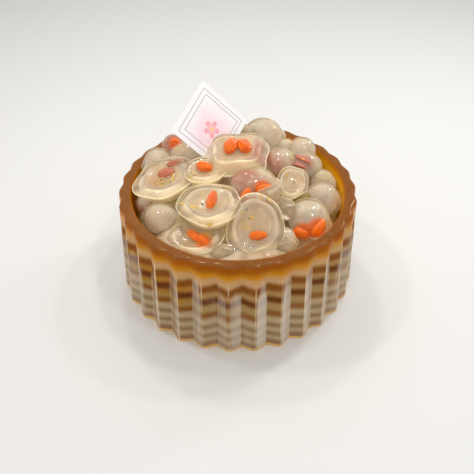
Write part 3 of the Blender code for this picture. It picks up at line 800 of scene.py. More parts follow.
def bed_jelly(heap):
    """Clear jelly between the fruit: milky near the tops, olive-yellow deep in the gaps."""
    material, start, place = begin_material("bed_jelly")
    x, y, z = place.split()
    drift = place.cloud(90.0, 3.0).rise(0.3, 0.7)
    paint = (0.6 * drift).tint(heap.bed_jelly, seen(196, 172, 116))
    at_rim = from_axis(x, y).rise(0.0520, 0.0600) * y.rise(-0.0150, -0.0350)
    shallow = ((z + drift * 0.006).rise(0.076, 0.092) + at_rim).clamped()
    paint = shallow.tint(paint, seen(164, 138, 104))
    milk = place.stretched((70.0, 30.0, 60.0)).cloud(1.0, 2.0).rise(0.44, 0.62)
    paint = (0.6 * shallow * milk).tint(paint, seen(206, 186, 158))
    paint = (0.15 * shallow * place.cloud(48.0, 1.0).rise(0.50, 0.62)).tint(paint, heap.flesh_blush)
    paint = (0.8 * near(place, BLEEDS)).tint(paint, seen(214, 146, 24))
    # The bed glows faintly: painted light.
    jelly = milky(start, paint, 0.10, 0.8, (0.008, 0.006, 0.003))
    return end_material(material, wet(jelly, start.bump(place.cloud(140.0, 2.0), 0.6, 0.002), 0.04))


def fruit_flesh(heap, name, blush, grey, clearness):
    """Wet translucent fruit flesh with faint fibres, clouded and stained unevenly, and creamier
    towards the bottom, where light is painted showing through.
    """
    material, start, place = begin_material(name)
    own = own_place(start)
    height = own.split()[2]
    cloud = place.cloud(75.0, 3.0).rise(0.32, 0.68)
    warm = place.cloud(52.0, 2.0).rise(0.46, 0.64)
    fibres = own.stretched((9.0, 9.0, 1.6)).cloud(2.2, 4.0, 0.65).rise(0.40, 0.66)
    paint = (grey * cloud + 0.15 * grey).clamped().tint(heap.flesh, heap.flesh_shade)
    # Creamier in random patches, and towards the bottom of each piece: painted light that shows
    # through the flesh.
    paint = (0.50 * warm + 0.35 * height.rise(0.0, -0.7)).clamped().tint(paint, heap.flesh_cream)
    paint = (0.15 * fibres).tint(paint, seen(244, 236, 220))
    stain = blush * place.cloud(48.0, 2.0).rise(0.32, 0.56) + 0.8 * near(place, STAINS)
    paint = stain.clamped().tint(paint, heap.flesh_blush)
    paint = (0.95 * near(place, BLEEDS)).tint(paint, seen(222, 100, 0))
    normal = start.bump(fibres, 0.25, 0.0003)
    ripple = start.bump(place.cloud(120.0, 1.0), 0.3, 0.0012)
    # The flesh glows faintly of its own colour: painted light.
    milk = milky(start, paint, 0.33, 1.0, (0.012, 0.010, 0.007), {"Normal": normal})
    share = (clearness * (1.25 - 0.5 * cloud)).clamped()
    flesh = share.blend(milk, glassy(start, 0.12, 1.33, ripple))
    return end_material(material, wet(flesh, ripple, 0.05, 0.3))


def clear_jelly(heap, name, lipped):
    """Clear jelly, pale honey at its lip, with faint shells round the pit and a wet gloss."""
    material, start, place = begin_material(name)
    own = own_place(start)
    x, y, z = own.split()
    swirl = own.cloud(1.3, 2.0, 0.4)
    cloudy = swirl.rise(0.42, 0.66)
    facing = edge_on(start)
    paint = swirl.rise(0.35, 0.65).tint(heap.clear_jelly, seen(222, 204, 176))
    paint = (0.7 * place.cloud(60.0, 2.0).rise(0.46, 0.66)).tint(paint, seen(230, 200, 142))
    stains = near(place, STAINS)
    paint = (0.8 * stains).tint(paint, heap.flesh_blush)
    paint = (0.85 * near(place, BLEEDS)).tint(paint, seen(240, 126, 4))
    if lipped:
        radius = from_axis(x, y)
        reach = radius + 0.22 * (swirl - 0.5) + 0.10 * (place.cloud(95.0, 1.0) - 0.5)
        shells = 0.0
        for middle, strength in PIT_SHELLS:
            shells = shells + abs(reach - middle).rise(0.040, 0.008) * strength
        shells = shells * (0.4 + 0.6 * own.cloud(1.7, 1.0).rise(0.40, 0.60)) * z.rise(0.35, 0.50)
        lip = radius.rise(0.950, 0.995)
        low_edge = y.rise(-0.45, -0.75) * radius.rise(0.62, 0.80)
        pit_glow = radius.rise(0.62, 0.44)
        paint = (0.55 * pit_glow).tint(paint, seen(232, 194, 130))
        paint = (lip + 0.5 * low_edge + 0.6 * shells).clamped().tint(paint, seen(248, 228, 184))
        opacity = 0.16 + 0.20 * cloudy + 0.26 * shells + 0.10 * pit_glow
        opacity = opacity + 0.70 * lip + 0.35 * low_edge + 0.20 * stains
        opacity = opacity + 0.40 * facing.rise(0.35, 0.90)
    else:
        opacity = 0.06 + 0.22 * cloudy + 0.58 * facing.rise(0.45, 0.95)
    # The jelly glows faintly: painted light.
    milk = milky(start, paint, 0.14, 0.8, (0.006, 0.005, 0.004), {"Alpha": opacity.clamped()})
    ripple = start.bump(place.cloud(150.0, 1.0) + 0.3 * place.cloud(620.0, 1.0), 0.34, 0.0014)
    return end_material(material, wet(milk, ripple, 0.035, 0.75))


def clear_lobe(heap):
    """Nearly clear jelly that bends light, with a milky edge and a wet gloss."""
    material, start, place = begin_material("clear_lobe")
    paint = place.cloud(60.0, 2.0).rise(0.40, 0.62).tint(heap.clear_jelly, seen(240, 208, 160))
    paint = (0.8 * near(place, STAINS)).tint(paint, heap.flesh_blush)
    # The lobe glows faintly: painted light.
    milk = milky(start, paint, 0.10, 1.0, (0.008, 0.006, 0.004))
    ripple = start.bump(place.cloud(180.0, 1.0), 0.8, 0.0020)
    share = 0.78 - 0.50 * edge_on(start).rise(0.30, 0.90)
    jelly = share.blend(milk, glassy(start, 0.06, 1.34, ripple))
    return end_material(material, wet(jelly, ripple, 0.04, 1.3))


def berry_skin(heap, name, fade, faded):
    """Soaked goji skin: orange with red folds, wet, and paler where it lies deeper in jelly."""
    material, start, place = begin_material(name)
    own = own_place(start)
    along = own.split()[0]
    folds = own.stretched((1.2, 5.0, 5.0)).cloud(1.5, 4.0, 0.6)
    patches = place.cloud(180.0, 2.0).rise(0.35, 0.65)
    paint = folds.rise(0.28, 0.60).tint(heap.berry_dark, heap.berry)
    paint = (0.40 * patches).tint(paint, seen(250, 138, 10))
    paint = (0.5 * along.rise(0.80, 1.0)).tint(paint, seen(246, 190, 110))
    paint = (fade + 0.2 * patches).clamped().tint(paint, faded)
    skin = principled(start, {
        "Base Color": paint, "Roughness": 0.4, "IOR": 1.4, "Specular IOR Level": 0.15,
        "Normal": start.bump(folds + 0.3 * place.cloud(700.0, 2.0), 0.5, 0.0006),
        "Subsurface Weight": 0.2, "Subsurface Radius": (0.002, 0.0006, 0.0002),
        "Subsurface Scale": 0.4,
    })
    ripple = start.bump(place.cloud(420.0, 1.0), 0.8, 0.0016)
    return end_material(material, wet(skin, ripple, 0.05, 1.5, (1.0, 0.94, 0.88)))


def osmanthus_petal():
    """Small golden petals soaked in jelly."""
    material, start, place = begin_material("osmanthus_petal")
    paint = place.cloud(900.0, 2.0).rise(0.3, 0.7).tint(seen(206, 158, 30), seen(236, 204, 92))
    return end_material(material, principled(start, {
        "Base Color": paint, "Roughness": 0.35, "Coat Weight": 0.8, "Coat Roughness": 0.1,
        "Subsurface Weight": 0.4, "Subsurface Radius": (0.001, 0.0008, 0.0003),
    }))


def dark_speck():
    """Tiny dark bits of dried flower."""
    material, start, place = begin_material("dark_speck")
    return end_material(material, principled(start, {
        "Base Color": place.cloud(1500.0, 2.0).tint(seen(34, 26, 18), seen(92, 66, 40)),
        "Roughness": 0.4, "Coat Weight": 0.6, "Coat Roughness": 0.1,
    }))


def card_paper(card):
    """Matt white card with two thin square borders, a pale wash and one plain blossom."""
    material, start, place = begin_material("card_paper")
    x, y, z = own_place(start).split()
    front = z.rise(-0.1, 0.1)
    flat = start.node("ShaderNodeCombineXYZ", feeds={"X": x, "Y": y, "Z": 0.0})
    spread = flat.distance((0.44, 0.44, 0.0)) + (flat.cloud(3.2, 2.0) - 0.5) * 0.4
    paint = (front * spread.rise(0.48, 0.16)).tint(card.paper, card.wash)
    for middle_x, middle_y, reach in CARD_BORDERS:
        square = start.maths("MAXIMUM", abs(x - middle_x), abs(y - middle_y))
        line = abs(square - reach).rise(0.011, 0.004)
        paint = (0.7 * line * front).tint(paint, card.line)
    across, up = x - BLOSSOM_PLACE[0], y - BLOSSOM_PLACE[1]
    radius = from_axis(across, up)
    bearing = start.maths("ARCTAN2", up, across)
    petals = abs(start.maths("COSINE", bearing * 2.5)) * 0.075 + 0.075
    painted_right_sheen = (petals - radius).rise(0.0, 0.012) * (0.55 + 0.45 * radius.rise(0.02, 0.12))
    paint = (painted_right_sheen * front * 0.85).tint(paint, card.petal)
    paint = (front * radius.rise(0.034, 0.024)).tint(paint, seen(240, 200, 110))
    grain = place.cloud(900.0, 3.0)
    paint = (0.06 * grain).tint(paint, seen(214, 210, 210))
    return end_material(material, principled(start, {
        "Base Color": paint, "Roughness": 0.5, "IOR": 1.45,
        "Normal": start.bump(grain, 0.08, 0.0002),
    }))


def studio_floor(stage):
    """Plain pale floor with a barely uneven tone."""
    material, start, place = begin_material("studio_floor")
    return end_material(material, principled(start, {
        "Base Color": (0.12 * place.cloud(3.0, 2.0)).tint(stage.floor, seen(216, 208, 194)),
        "Roughness": 0.65, "Normal": start.bump(place.cloud(400.0, 2.0), 0.03, 0.0002),
    }))


def smooth_step(value):
    """Rise softly from 0 to 1."""
    value = min(max(value, 0.0), 1.0)
    return value * value * (3.0 - 2.0 * value)


def at_bearing(radius, bearing, height):
    """Return the point at a radius, a bearing in degrees and a height."""
    angle = math.radians(bearing)
    return Vector((radius * math.sin(angle), -radius * math.cos(angle), height))


def tip_radius(height):
    """Return the radius of the flute tips, which lean in slightly towards the rim."""
    return BASE_TIP_RADIUS + (RIM_TIP_RADIUS - BASE_TIP_RADIUS) * height / RIM_TOP


def recess_radius(height):
    """Return the recess wall's radius, which narrows slightly towards the floor."""
    share = (height - RECESS_FLOOR) / (RIM_TOP - RECESS_FLOOR)
    return RECESS_FOOT_RADIUS + (RECESS_EDGE_RADIUS - RECESS_FOOT_RADIUS) * share


def flute_share(bearing, softness):
    """Return 0 on a flute's tip and 1 in its valley, straight between them and rounded at both."""
    wave = math.cos(math.tau * (bearing - FIRST_FLUTE_BEARING) / PITCH)
    from_tip = math.acos(VALLEY_SHARPNESS * wave) / math.pi
    slope = 1.0 - TIP_SHARE
    rounded = softness * math.log1p(math.exp((from_tip - TIP_SHARE) / softness))
    return rounded / (slope + softness * math.log1p(math.exp(-slope / softness)))


def flute_ring(body, height, inset=0.0, depth=None):
    """Return the fluted outline at one height, as a function of bearing."""
    if depth is None:
        fade = smooth_step((height - FLUTE_FADE_START) / (FLUTE_FADE_END - FLUTE_FADE_START))
        depth = body.flute_depth * (1.0 - (1.0 - FLUTE_LEFT_AT_RIM) * fade)
    outer = tip_radius(height) - inset

    def ring(bearing):
        radius = outer - depth * flute_share(bearing, body.tip_softness)
        point = at_bearing(radius, bearing, height)
        return at_bearing(radius + SKIN_SWELL * noise.noise(point * 60.0), bearing, height)

    return ring


def round_ring(height, radius):
    """Return a circle at one height, as a function of bearing."""
    return lambda bearing: at_bearing(radius, bearing, height)


def stack_rings(bm, sides, rings):
    """Skin a stack of rings, from the first to the last."""
    below = bmesh.ops.create_circle(bm, cap_ends=False, segments=sides, radius=1.0)["verts"]
    bearings = {vert: math.degrees(math.atan2(vert.co.x, -vert.co.y)) for vert in below}
    edges = bm.edges[:]
    for vert in below:
        vert.co = rings[0](bearings[vert])
    for ring in rings[1:]:
        grown = bmesh.ops.extrude_edge_only(bm, edges=edges)["geom"]
        above = {item for item in grown if isinstance(item, bmesh.types.BMVert)}
        edges = [
            item for item in grown
            if isinstance(item, bmesh.types.BMEdge) and above.issuperset(item.verts)
        ]
        for vert in above:
            ends = (edge.other_vert(vert) for edge in vert.link_edges)
            bearings[vert] = bearings[next(end for end in ends if end not in above)]
        for vert in above:
            vert.co = ring(bearings[vert])


def close_skin(bm, reach=0.000001):
    """Merge the seam and the poles, then point every face outwards."""
    bmesh.ops.remove_doubles(bm, verts=bm.verts, dist=reach)
    bmesh.ops.recalc_face_normals(bm, faces=bm.faces)


def add_object(name, data):
    """Add an object that shows a mesh, a light or a camera."""
    added = bpy.data.objects.new(name, data)
    bpy.context.scene.collection.objects.link(added)
    return added


def add_mesh(name, bm, material):
    """Add an object made of a bmesh, in one material."""
    mesh = bpy.data.meshes.new(name)
    bm.to_mesh(mesh)
    bm.free()
    mesh.materials.append(material)
    return add_object(name, mesh)


def aim_at(added, place, target):
    """Put a light or a camera in its place and aim it."""
    added.location = place
    added.rotation_euler = (target - Vector(place)).to_track_quat("-Z", "Y").to_euler()


def turned(degrees, axis):
    """Return the matrix of a turn about one axis."""
    return Matrix.Rotation(math.radians(degrees), 4, axis)


def finish_piece(name, bm, material, slot, nodes=(), smooth_levels=0):
    """Turn a bmesh into a finished piece that rides on the cake."""
    piece = add_mesh(name, bm, material)
    piece.data.shade_smooth()
    if smooth_levels:
        modifier = piece.modifiers.new("Subdivision", "SUBSURF")
        modifier.levels = smooth_levels
        modifier.render_levels = smooth_levels
    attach(piece, "root")
    if nodes:
        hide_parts(*nodes)
    return piece


def unit_ball(across, up):
    """Return a ball of unit size, with some segments across and some up."""
    bm = bmesh.new()
    bmesh.ops.create_uvsphere(bm, u_segments=across, v_segments=up, radius=1.0)
    return bm


def keep_own_place(bm):
    """Store each point's place on the unit shape, for patterns that follow the piece."""
    layer = bm.verts.layers.float_vector.new("own_place")
    for vert in bm.verts:
        vert[layer] = vert.co


def spin_outline(bm, outline, sides):
    """Turn a half outline once round the Z axis into a closed skin."""
    corners = [bm.verts.new((radius, 0.0, height)) for radius, height in outline]
    for pair in zip(corners, corners[1:]):
        bm.edges.new(pair)
    bmesh.ops.spin(
        bm, geom=bm.verts[:] + bm.edges[:], cent=(0.0, 0.0, 0.0), axis=(0.0, 0.0, 1.0),
        angle=math.tau, steps=sides, use_merge=True,
    )
    close_skin(bm, 0.00001)


def roughen(bm, amount, phase, ruffle=0.0):
    """Make a round piece uneven with a few broad swells and some small ones, and ruffle its lip."""
    for vert in bm.verts:
        x, y, z = vert.co
        angle = math.atan2(y, x)
        radius = math.hypot(x, y)
        swell = amount * math.sin(2.0 * angle + phase)
        swell += 0.6 * amount * math.sin(3.0 * angle - 2.0 * phase)
        swell *= min(radius, 1.0)
        swell += 0.5 * amount * noise.noise(Vector((x, y, z)) * 1.9 + Vector((phase, 0.0, 0.0)))
        lift = 0.5 * amount * math.sin(2.3 * x + phase) * min(1.0, radius)
        lift += 0.5 * amount * noise.noise(Vector((x, y, 3.0 + phase)) * 2.4) * min(1.0, radius)
        at_lip = ruffle * smooth_step((radius - 0.45) / 0.45)
        swell += at_lip * math.sin(5.0 * angle + 3.0 * phase)
        swell += 0.5 * at_lip * math.sin(8.0 * angle - phase)
        lift += 3.0 * at_lip * math.sin(4.0 * angle + 2.0 * phase)
        vert.co = Vector((x * (1.0 + swell), y * (1.0 + swell), z * (1.0 + lift)))


def dent(bm, phase, depth):
    """Press a soft hollow into a unit ball, where the fruit was opened."""
    middle = Vector((math.sin(3.0 * phase), -0.9, 0.55 + 0.5 * math.cos(2.0 * phase))).normalized()
    for vert in bm.verts:
        off = vert.co.angle(middle)
        vert.co *= 1.0 - depth * math.exp(-((off / 0.42) ** 2.0))


def square_off(bm, amount):
    """Push a round piece towards a rounded square."""
    for vert in bm.verts:
        angle = math.atan2(vert.co.y, vert.co.x)
        push = 1.0 + amount * (math.sin(2.0 * angle) ** 2)
        vert.co.x *= push
        vert.co.y *= push


def taper(bm, amount, lean):
    """Make a round piece narrower at the top of its face, and lean it to the right."""
    for vert in bm.verts:
        vert.co.x = vert.co.x * (1.0 - amount * vert.co.y) + lean * vert.co.y


def draw_out(bm, degrees, amount):
    """Pull a round piece out to a soft corner at one side."""
    corner = math.radians(degrees)
    for vert in bm.verts:
        turn = math.cos(math.atan2(vert.co.y, vert.co.x) - corner)
        push = 1.0 + amount * max(turn, 0.0) ** 6
        vert.co.x *= push
        vert.co.y *= push


def facing_matrix(piece):
    """Return the matrix that puts a piece in its place, tilted towards a bearing."""
    lean = turned(piece.toward, "Z") @ turned(piece.tilt, "X")
    lean = lean @ turned(piece.turn - piece.toward, "Z")
    return Matrix.Translation(piece.place) @ lean


def settle_fruit(bm, fruit):
    """Size a unit fruit or lobe and put it in its place in the heap."""
    half_size = (0.5 * fruit.width, 0.5 * fruit.depth, 0.5 * fruit.tall)
    bmesh.ops.scale(bm, vec=half_size, verts=bm.verts)
    bmesh.ops.transform(bm, matrix=facing_matrix(fruit), verts=bm.verts)


def berry_shape(phase):
    """Return a goji berry of unit size, long in X, creased along its length and tapered."""
    bm = unit_ball(28, 18)
    bmesh.ops.rotate(bm, matrix=turned(90.0, "Y"), verts=bm.verts)
    keep_own_place(bm)
    for vert in bm.verts:
        x, y, z = vert.co
        angle = math.atan2(z, y)
        crease = 0.07 * math.sin(5.0 * angle + phase + 1.5 * x)
        crease += 0.05 * math.sin(9.0 * angle - 2.0 * phase - 3.0 * x)
        crease += 0.10 * noise.noise(Vector((x * 1.5, y, z)) * 2.2 + Vector((phase, 0.0, 0.0)))
        girth = (1.0 + crease) * (1.0 - 0.16 * x)
        vert.co = Vector((x, y * girth, z * girth + 0.06 * math.sin(2.0 * x + phase)))
    return bm


def heap_surface(objects):
    """Return a tree that finds the surface of some objects from above."""
    corners, faces = [], []
    for piece in objects:
        start = len(corners)
        corners += [vert.co.copy() for vert in piece.data.vertices]
        faces += [[start + index for index in face.vertices] for face in piece.data.polygons]
    return BVHTree.FromPolygons(corners, faces)


def jelly_surface():
    """Return the surface of the clear jelly round all the fruit."""
    return heap_surface([bpy.data.objects[f"{fruit.node}_jelly"] for fruit in FRUITS])


def look_down(surface, x, y):
    """Return the highest point of a surface at a place, and the way that it faces there."""
    return surface.ray_cast(Vector((x, y, LOOK_HEIGHT)), Vector((0.0, 0.0, -1.0)))[:2]


def scatter(patches, surface, draw):
    """Return places on the heap's surface, with the way that it faces there."""
    spots = []
    for patch in patches:
        for _ in range(patch.count):
            angle, reach = draw.uniform(0.0, math.tau), patch.reach * math.sqrt(draw.random())
            x, y = patch.x + reach * math.cos(angle), patch.y + reach * math.sin(angle)
            point, normal = look_down(surface, x, y)
            if point is not None:
                spots.append((point, normal))
    return spots


def lie_flat(point, normal, draw):
    """Return the matrix that lays a fleck on the surface, turned by chance."""
    turn = normal.to_track_quat("Z", "Y").to_matrix().to_4x4()
    return Matrix.Translation(point) @ turn @ Matrix.Rotation(draw.uniform(0.0, math.tau), 4, "Z")


class JELLYCAKE_OT_layered_body(Operator):
    """Make the fluted body with its thirteen set layers"""

    bl_idname = "jelly_cake.layered_body"
    bl_label = "Layered body"

    def execute(self, context):
        body = context.scene.jelly_cake_body
        foot = FOOT_ROUNDING[-1][0]
        climb = RIM_BOTTOM - foot
        rings = [round_ring(0.0, 0.0)]
        rings += [flute_ring(body, height, inset) for height, inset in FOOT_ROUNDING]
        rings += [flute_ring(body, foot + climb * n / WALL_STEPS) for n in range(1, WALL_STEPS)]
        rings += [flute_ring(body, RIM_BOTTOM - EDGE_LOOP), flute_ring(body, RIM_BOTTOM)]
        clearance = LINER_THICKNESS + SKIN_GAP
        rings += [
            round_ring(RIM_BOTTOM, recess_radius(RIM_BOTTOM) + clearance),
            round_ring(LINER_BOTTOM, recess_radius(LINER_BOTTOM) + clearance),
            round_ring(LINER_BOTTOM, 0.0),
        ]
        bm = bmesh.new()
        stack_rings(bm, BODY_SIDES, rings)
        close_skin(bm)
        nodes = [layer.node for layer in LAYERS]
        finish_piece("layered_body", bm, layered_jelly(body), "coconut", nodes)
        return {"FINISHED"}


class JELLYCAKE_OT_amber_rim(Operator):
    """Make the amber rim and the lining of the recess"""

    bl_idname = "jelly_cake.amber_rim"
    bl_label = "Amber rim"

    def execute(self, context):
        body = context.scene.jelly_cake_body
        foot = RIM_BOTTOM + SKIN_GAP
        floor = LINER_BOTTOM + SKIN_GAP
        rings = [
            round_ring(floor, 0.0),
            round_ring(floor, recess_radius(floor) + LINER_THICKNESS),
            round_ring(foot, recess_radius(foot) + LINER_THICKNESS),
            flute_ring(body, foot),
            flute_ring(body, foot + EDGE_LOOP),
        ]
        climb = (SHOULDER_BOTTOM - foot) / RIM_STEPS
        rings += [flute_ring(body, foot + climb * n) for n in range(1, RIM_STEPS + 1)]
        fade_depth = body.flute_depth * FLUTES_LEFT_AT_SHOULDER
        for step in range(1, SHOULDER_STEPS + 1):
            share = step / SHOULDER_STEPS
            angle = math.radians(90.0 * share)
            height = SHOULDER_BOTTOM + (RIM_TOP - SHOULDER_BOTTOM) * math.sin(angle)
            depth = fade_depth + (FLUTE_DEPTH_AT_TOP - fade_depth) * share
            inset = SHOULDER_INSET * (1.0 - math.cos(angle)) ** SHOULDER_CURVE
            rings.append(flute_ring(body, height, inset, depth))
        top = RIM_TOP - RECESS_DROP
        rings.append(round_ring(top, RECESS_EDGE_RADIUS + 2.2 * RECESS_ROUNDING))
        for step in range(RECESS_STEPS + 1):
            angle = math.radians(90.0 * step / RECESS_STEPS)
            reach = RECESS_EDGE_RADIUS + RECESS_ROUNDING * (1.0 - math.sin(angle))
            rings.append(round_ring(top - RECESS_ROUNDING * (1.0 - math.cos(angle)), reach))
        rings += [round_ring(height, recess_radius(height)) for height in RECESS_RINGS]
        rings.append(round_ring(RECESS_FLOOR, RECESS_FOOT_RADIUS - RECESS_FOOT_ROUNDING))
        rings.append(round_ring(RECESS_FLOOR, 0.0))
        bm = bmesh.new()
        stack_rings(bm, BODY_SIDES, rings)
        close_skin(bm)
        nodes = ("amber_rim", "recess_wall", "recess_floor")
        finish_piece("amber_rim_and_lining", bm, amber_jelly(body), "amber_jelly", nodes)
        return {"FINISHED"}


class JELLYCAKE_OT_bed(Operator):
    """Make the clear jelly that the heap is set in, which fills the gaps between the fruit"""

    bl_idname = "jelly_cake.bed"
    bl_label = "Jelly bed"

    def execute(self, context):
        heap = context.scene.jelly_cake_heap
        low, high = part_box("jelly_mound")
        edge = recess_radius(low.z) - BED_CLEARANCE
        outline = [(0.0, low.z), (0.5 * edge, low.z), (edge, low.z)]
        outline += [(edge * (1.0 - n / BED_STEPS), high.z) for n in range(BED_STEPS + 1)]
        bm = bmesh.new()
        spin_outline(bm, outline, BED_SIDES)
        surface = heap_surface([frame["nodes"][fruit.node] for fruit in FRUITS])
        least = low.z + BED_LEAST
        top = [vert for vert in bm.verts if vert.co.z > least]
        for vert in top:
            height = max(self.blanket_height(surface, vert.co, heap), least)
            brim = heap.brim + BRIM_SWELL * noise.noise(Vector((vert.co.x, vert.co.y, 0.0)) * 150.0)
            height = max(height, low.z + self.front_fill(vert.co) * (brim - low.z))
            spread = (recess_radius(height) - BED_CLEARANCE) / edge
            vert.co = Vector((vert.co.x * spread, vert.co.y * spread, height))
        bmesh.ops.smooth_vert(bm, verts=top, factor=0.5, use_axis_z=True)
        bmesh.ops.recalc_face_normals(bm, faces=bm.faces)
        finish_piece("jelly_bed", bm, bed_jelly(heap), "clear_jelly", ("jelly_mound",), 1)
        return {"FINISHED"}

    def front_fill(self, point):
        """Return 1 where the jelly fills the recess up to the rim, in front, and 0 elsewhere."""
        bearing = math.degrees(math.atan2(point.x, -point.y))
        return smooth_step((FILL_REACH - abs(bearing - FILL_MIDDLE)) / FILL_FADE)

    def blanket_height(self, surface, point, heap):
        """Return how high the jelly stands between the fruit at a point."""
        total = 0.0
        for reach in BLANKET_RINGS:
            for turn in range(BLANKET_TURNS):
                angle = math.tau * turn / BLANKET_TURNS
                x, y = point.x + reach * math.cos(angle), point.y + reach * math.sin(angle)
                hit = look_down(surface, x, y)[0]
                total += hit.z if hit is not None else RECESS_FLOOR
        mean = total / (len(BLANKET_RINGS) * BLANKET_TURNS)
        swell = BED_SWELL * noise.noise(Vector((point.x, point.y, 0.0)) * 120.0)
        return mean - heap.sinking + swell


class JELLYCAKE_OT_fruit(Operator):
    """Make the opened fruit and the whole peeled fruit, each in its clear jelly"""

    bl_idname = "jelly_cake.fruit"
    bl_label = "Fruit"

    def execute(self, context):
        heap = context.scene.jelly_cake_heap
        flesh = {
            "cup": fruit_flesh(heap, "opened_flesh", blush=0.20, grey=0.5, clearness=0.16),
            "ball": fruit_flesh(heap, "peeled_flesh", blush=0.10, grey=1.0, clearness=0.18),
            "rosy": fruit_flesh(heap, "rosy_flesh", blush=0.95, grey=0.6, clearness=0.22),
        }
        flesh["skirted"] = flesh["cup"]
        lipped_jelly = clear_jelly(heap, "lipped_jelly", lipped=True)
        coat_jelly = clear_jelly(heap, "coat_jelly", lipped=False)
        for index, fruit in enumerate(FRUITS):
            phase = FRUIT_SHIFT * index
            if fruit.kind in OPENED_OUTLINES:
                inner, outer = OPENED_OUTLINES[fruit.kind]
                self.opened(fruit, inner, phase, "flesh", flesh[fruit.kind], "opened_fruit")
                self.opened(fruit, outer, phase, "jelly", lipped_jelly, "clear_jelly")
            else:
                self.whole(fruit, phase, flesh[fruit.kind], coat_jelly)
        return {"FINISHED"}

    def opened(self, fruit, outline, phase, part, material, slot):
        """Make the flesh or the jelly of an opened fruit."""
        bm = bmesh.new()
        spin_outline(bm, outline, OPENED_SIDES)
        self.finish(bm, fruit, OPENED_UNEVEN, phase, part, material, slot, 2)

    def whole(self, fruit, phase, flesh, coat_jelly):
        """Make the flesh of a whole fruit, pressed in at one side, and the coat round it."""
        bm = unit_ball(28, 18)
        dent(bm, phase, HOLLOW_DEPTH)
        self.finish(bm, fruit, WHOLE_UNEVEN, phase, "flesh", flesh, "peeled_fruit", 1, FLESH_SIZE)
        bm = bmesh.new()
        spin_outline(bm, COAT_JELLY, COAT_SIDES)
        for axis, sway in (("X", math.sin(phase)), ("Y", math.cos(1.6 * phase))):
            bmesh.ops.rotate(bm, matrix=turned(COAT_LEAN * sway, axis), verts=bm.verts)
        self.finish(bm, fruit, WHOLE_UNEVEN, phase, "jelly", coat_jelly, "clear_jelly", 2)

    def finish(self, bm, fruit, uneven, phase, part, material, slot, levels, size=1.0):
        """Make a unit shape uneven, settle it in the heap and finish it."""
        keep_own_place(bm)
        if fruit.node == "cup_crown":
            square_off(bm, CROWN_SQUARENESS)
        if fruit.node == "cup_left":
            draw_out(bm, *LEFT_CORNER)
        if fruit.node == "cup_front":
            taper(bm, *FRONT_TAPER)
        roughen(bm, uneven, phase, LIP_RUFFLE.get(fruit.kind, 0.0))
        bmesh.ops.scale(bm, vec=(size, size, size), verts=bm.verts)
        settle_fruit(bm, fruit)
        nodes = (fruit.node,) if part == "jelly" else ()
        finish_piece(f"{fruit.node}_{part}", bm, material, slot, nodes, levels)


class JELLYCAKE_OT_lobes(Operator):
    """Make the small clear lobes of jelly that stick out between the fruit"""

    bl_idname = "jelly_cake.lobes"
    bl_label = "Clear lobes"

    def execute(self, context):
        material = clear_lobe(context.scene.jelly_cake_heap)
        for index, lobe in enumerate(LOBES):
            bm = unit_ball(24, 16)
            keep_own_place(bm)
            draw_out(bm, lobe.corner, LOBE_CORNER)
            roughen(bm, LOBE_UNEVEN, LOBE_SHIFT * index)
            settle_fruit(bm, lobe)
            finish_piece(f"clear_lobe_{index + 1}", bm, material, "clear_jelly", (), 1)
        return {"FINISHED"}


class JELLYCAKE_OT_berries(Operator):
    """Make the goji berries in the pits and those sunk in the fruit"""

    bl_idname = "jelly_cake.berries"
    bl_label = "Goji berries"

    def execute(self, context):
        heap = context.scene.jelly_cake_heap
        open_skin = berry_skin(heap, "goji_skin", fade=0.0, faded=heap.berry)
        sunk_skin = berry_skin(heap, "goji_skin_sunk", fade=0.40, faded=seen(236, 108, 14))
        pale_skin = berry_skin(heap, "goji_skin_pale", fade=0.66, faded=seen(184, 118, 100))
        hosts = {fruit.node: fruit for fruit in FRUITS}
        surface = jelly_surface()
        for index, berry in enumerate(PIT_BERRIES):
            skin = pale_skin if berry.node == PALE_IN_PIT else open_skin
            place = self.in_pit(berry, hosts[berry.host])
            self.add(berry.node, berry, place, BERRY_SHIFT * index, skin, (berry.node,))
        for index, berry in enumerate(SUNK_BERRIES + PALE_BERRIES):
            kind, skin, middle = "sunk", sunk_skin, berry.place
            if berry in PALE_BERRIES:
                top = look_down(surface, *berry.place)[0].z
                kind, skin = "pale", pale_skin
                middle = (*berry.place, top - PALE_SINKING * berry.thick)
            turn = Vector((1.0, 0.0, 0.0)).rotation_difference(Vector(berry.along))
            place = Matrix.Translation(middle) @ turn.to_matrix().to_4x4()
            phase = SUNK_SHIFT + BERRY_SHIFT * index
            self.add(f"goji_{kind}_{berry.name}", berry, place, phase, skin)
        return {"FINISHED"}

    def in_pit(self, berry, host):
        """Return the matrix that lays a berry on the face of its host."""
        pitch = math.radians(berry.pitch)
        height = math.hypot(berry.length * math.sin(pitch), berry.thick * math.cos(pitch))
        spot = Matrix.Translation((berry.across, berry.along, 0.5 * height + PIT_LIFT))
        spot = spot @ turned(berry.turn, "Z") @ turned(-berry.pitch, "Y")
        return facing_matrix(host) @ spot

    def add(self, name, berry, place, phase, skin, nodes=()):
        """Make one berry in its place."""
        bm = berry_shape(phase)
        half_size = (0.5 * berry.length, 0.5 * berry.thick, 0.5 * berry.thick)
        bmesh.ops.scale(bm, vec=half_size, verts=bm.verts)
        bmesh.ops.transform(bm, matrix=place, verts=bm.verts)
        finish_piece(f"{name}_berry", bm, skin, "goji", nodes, 1)


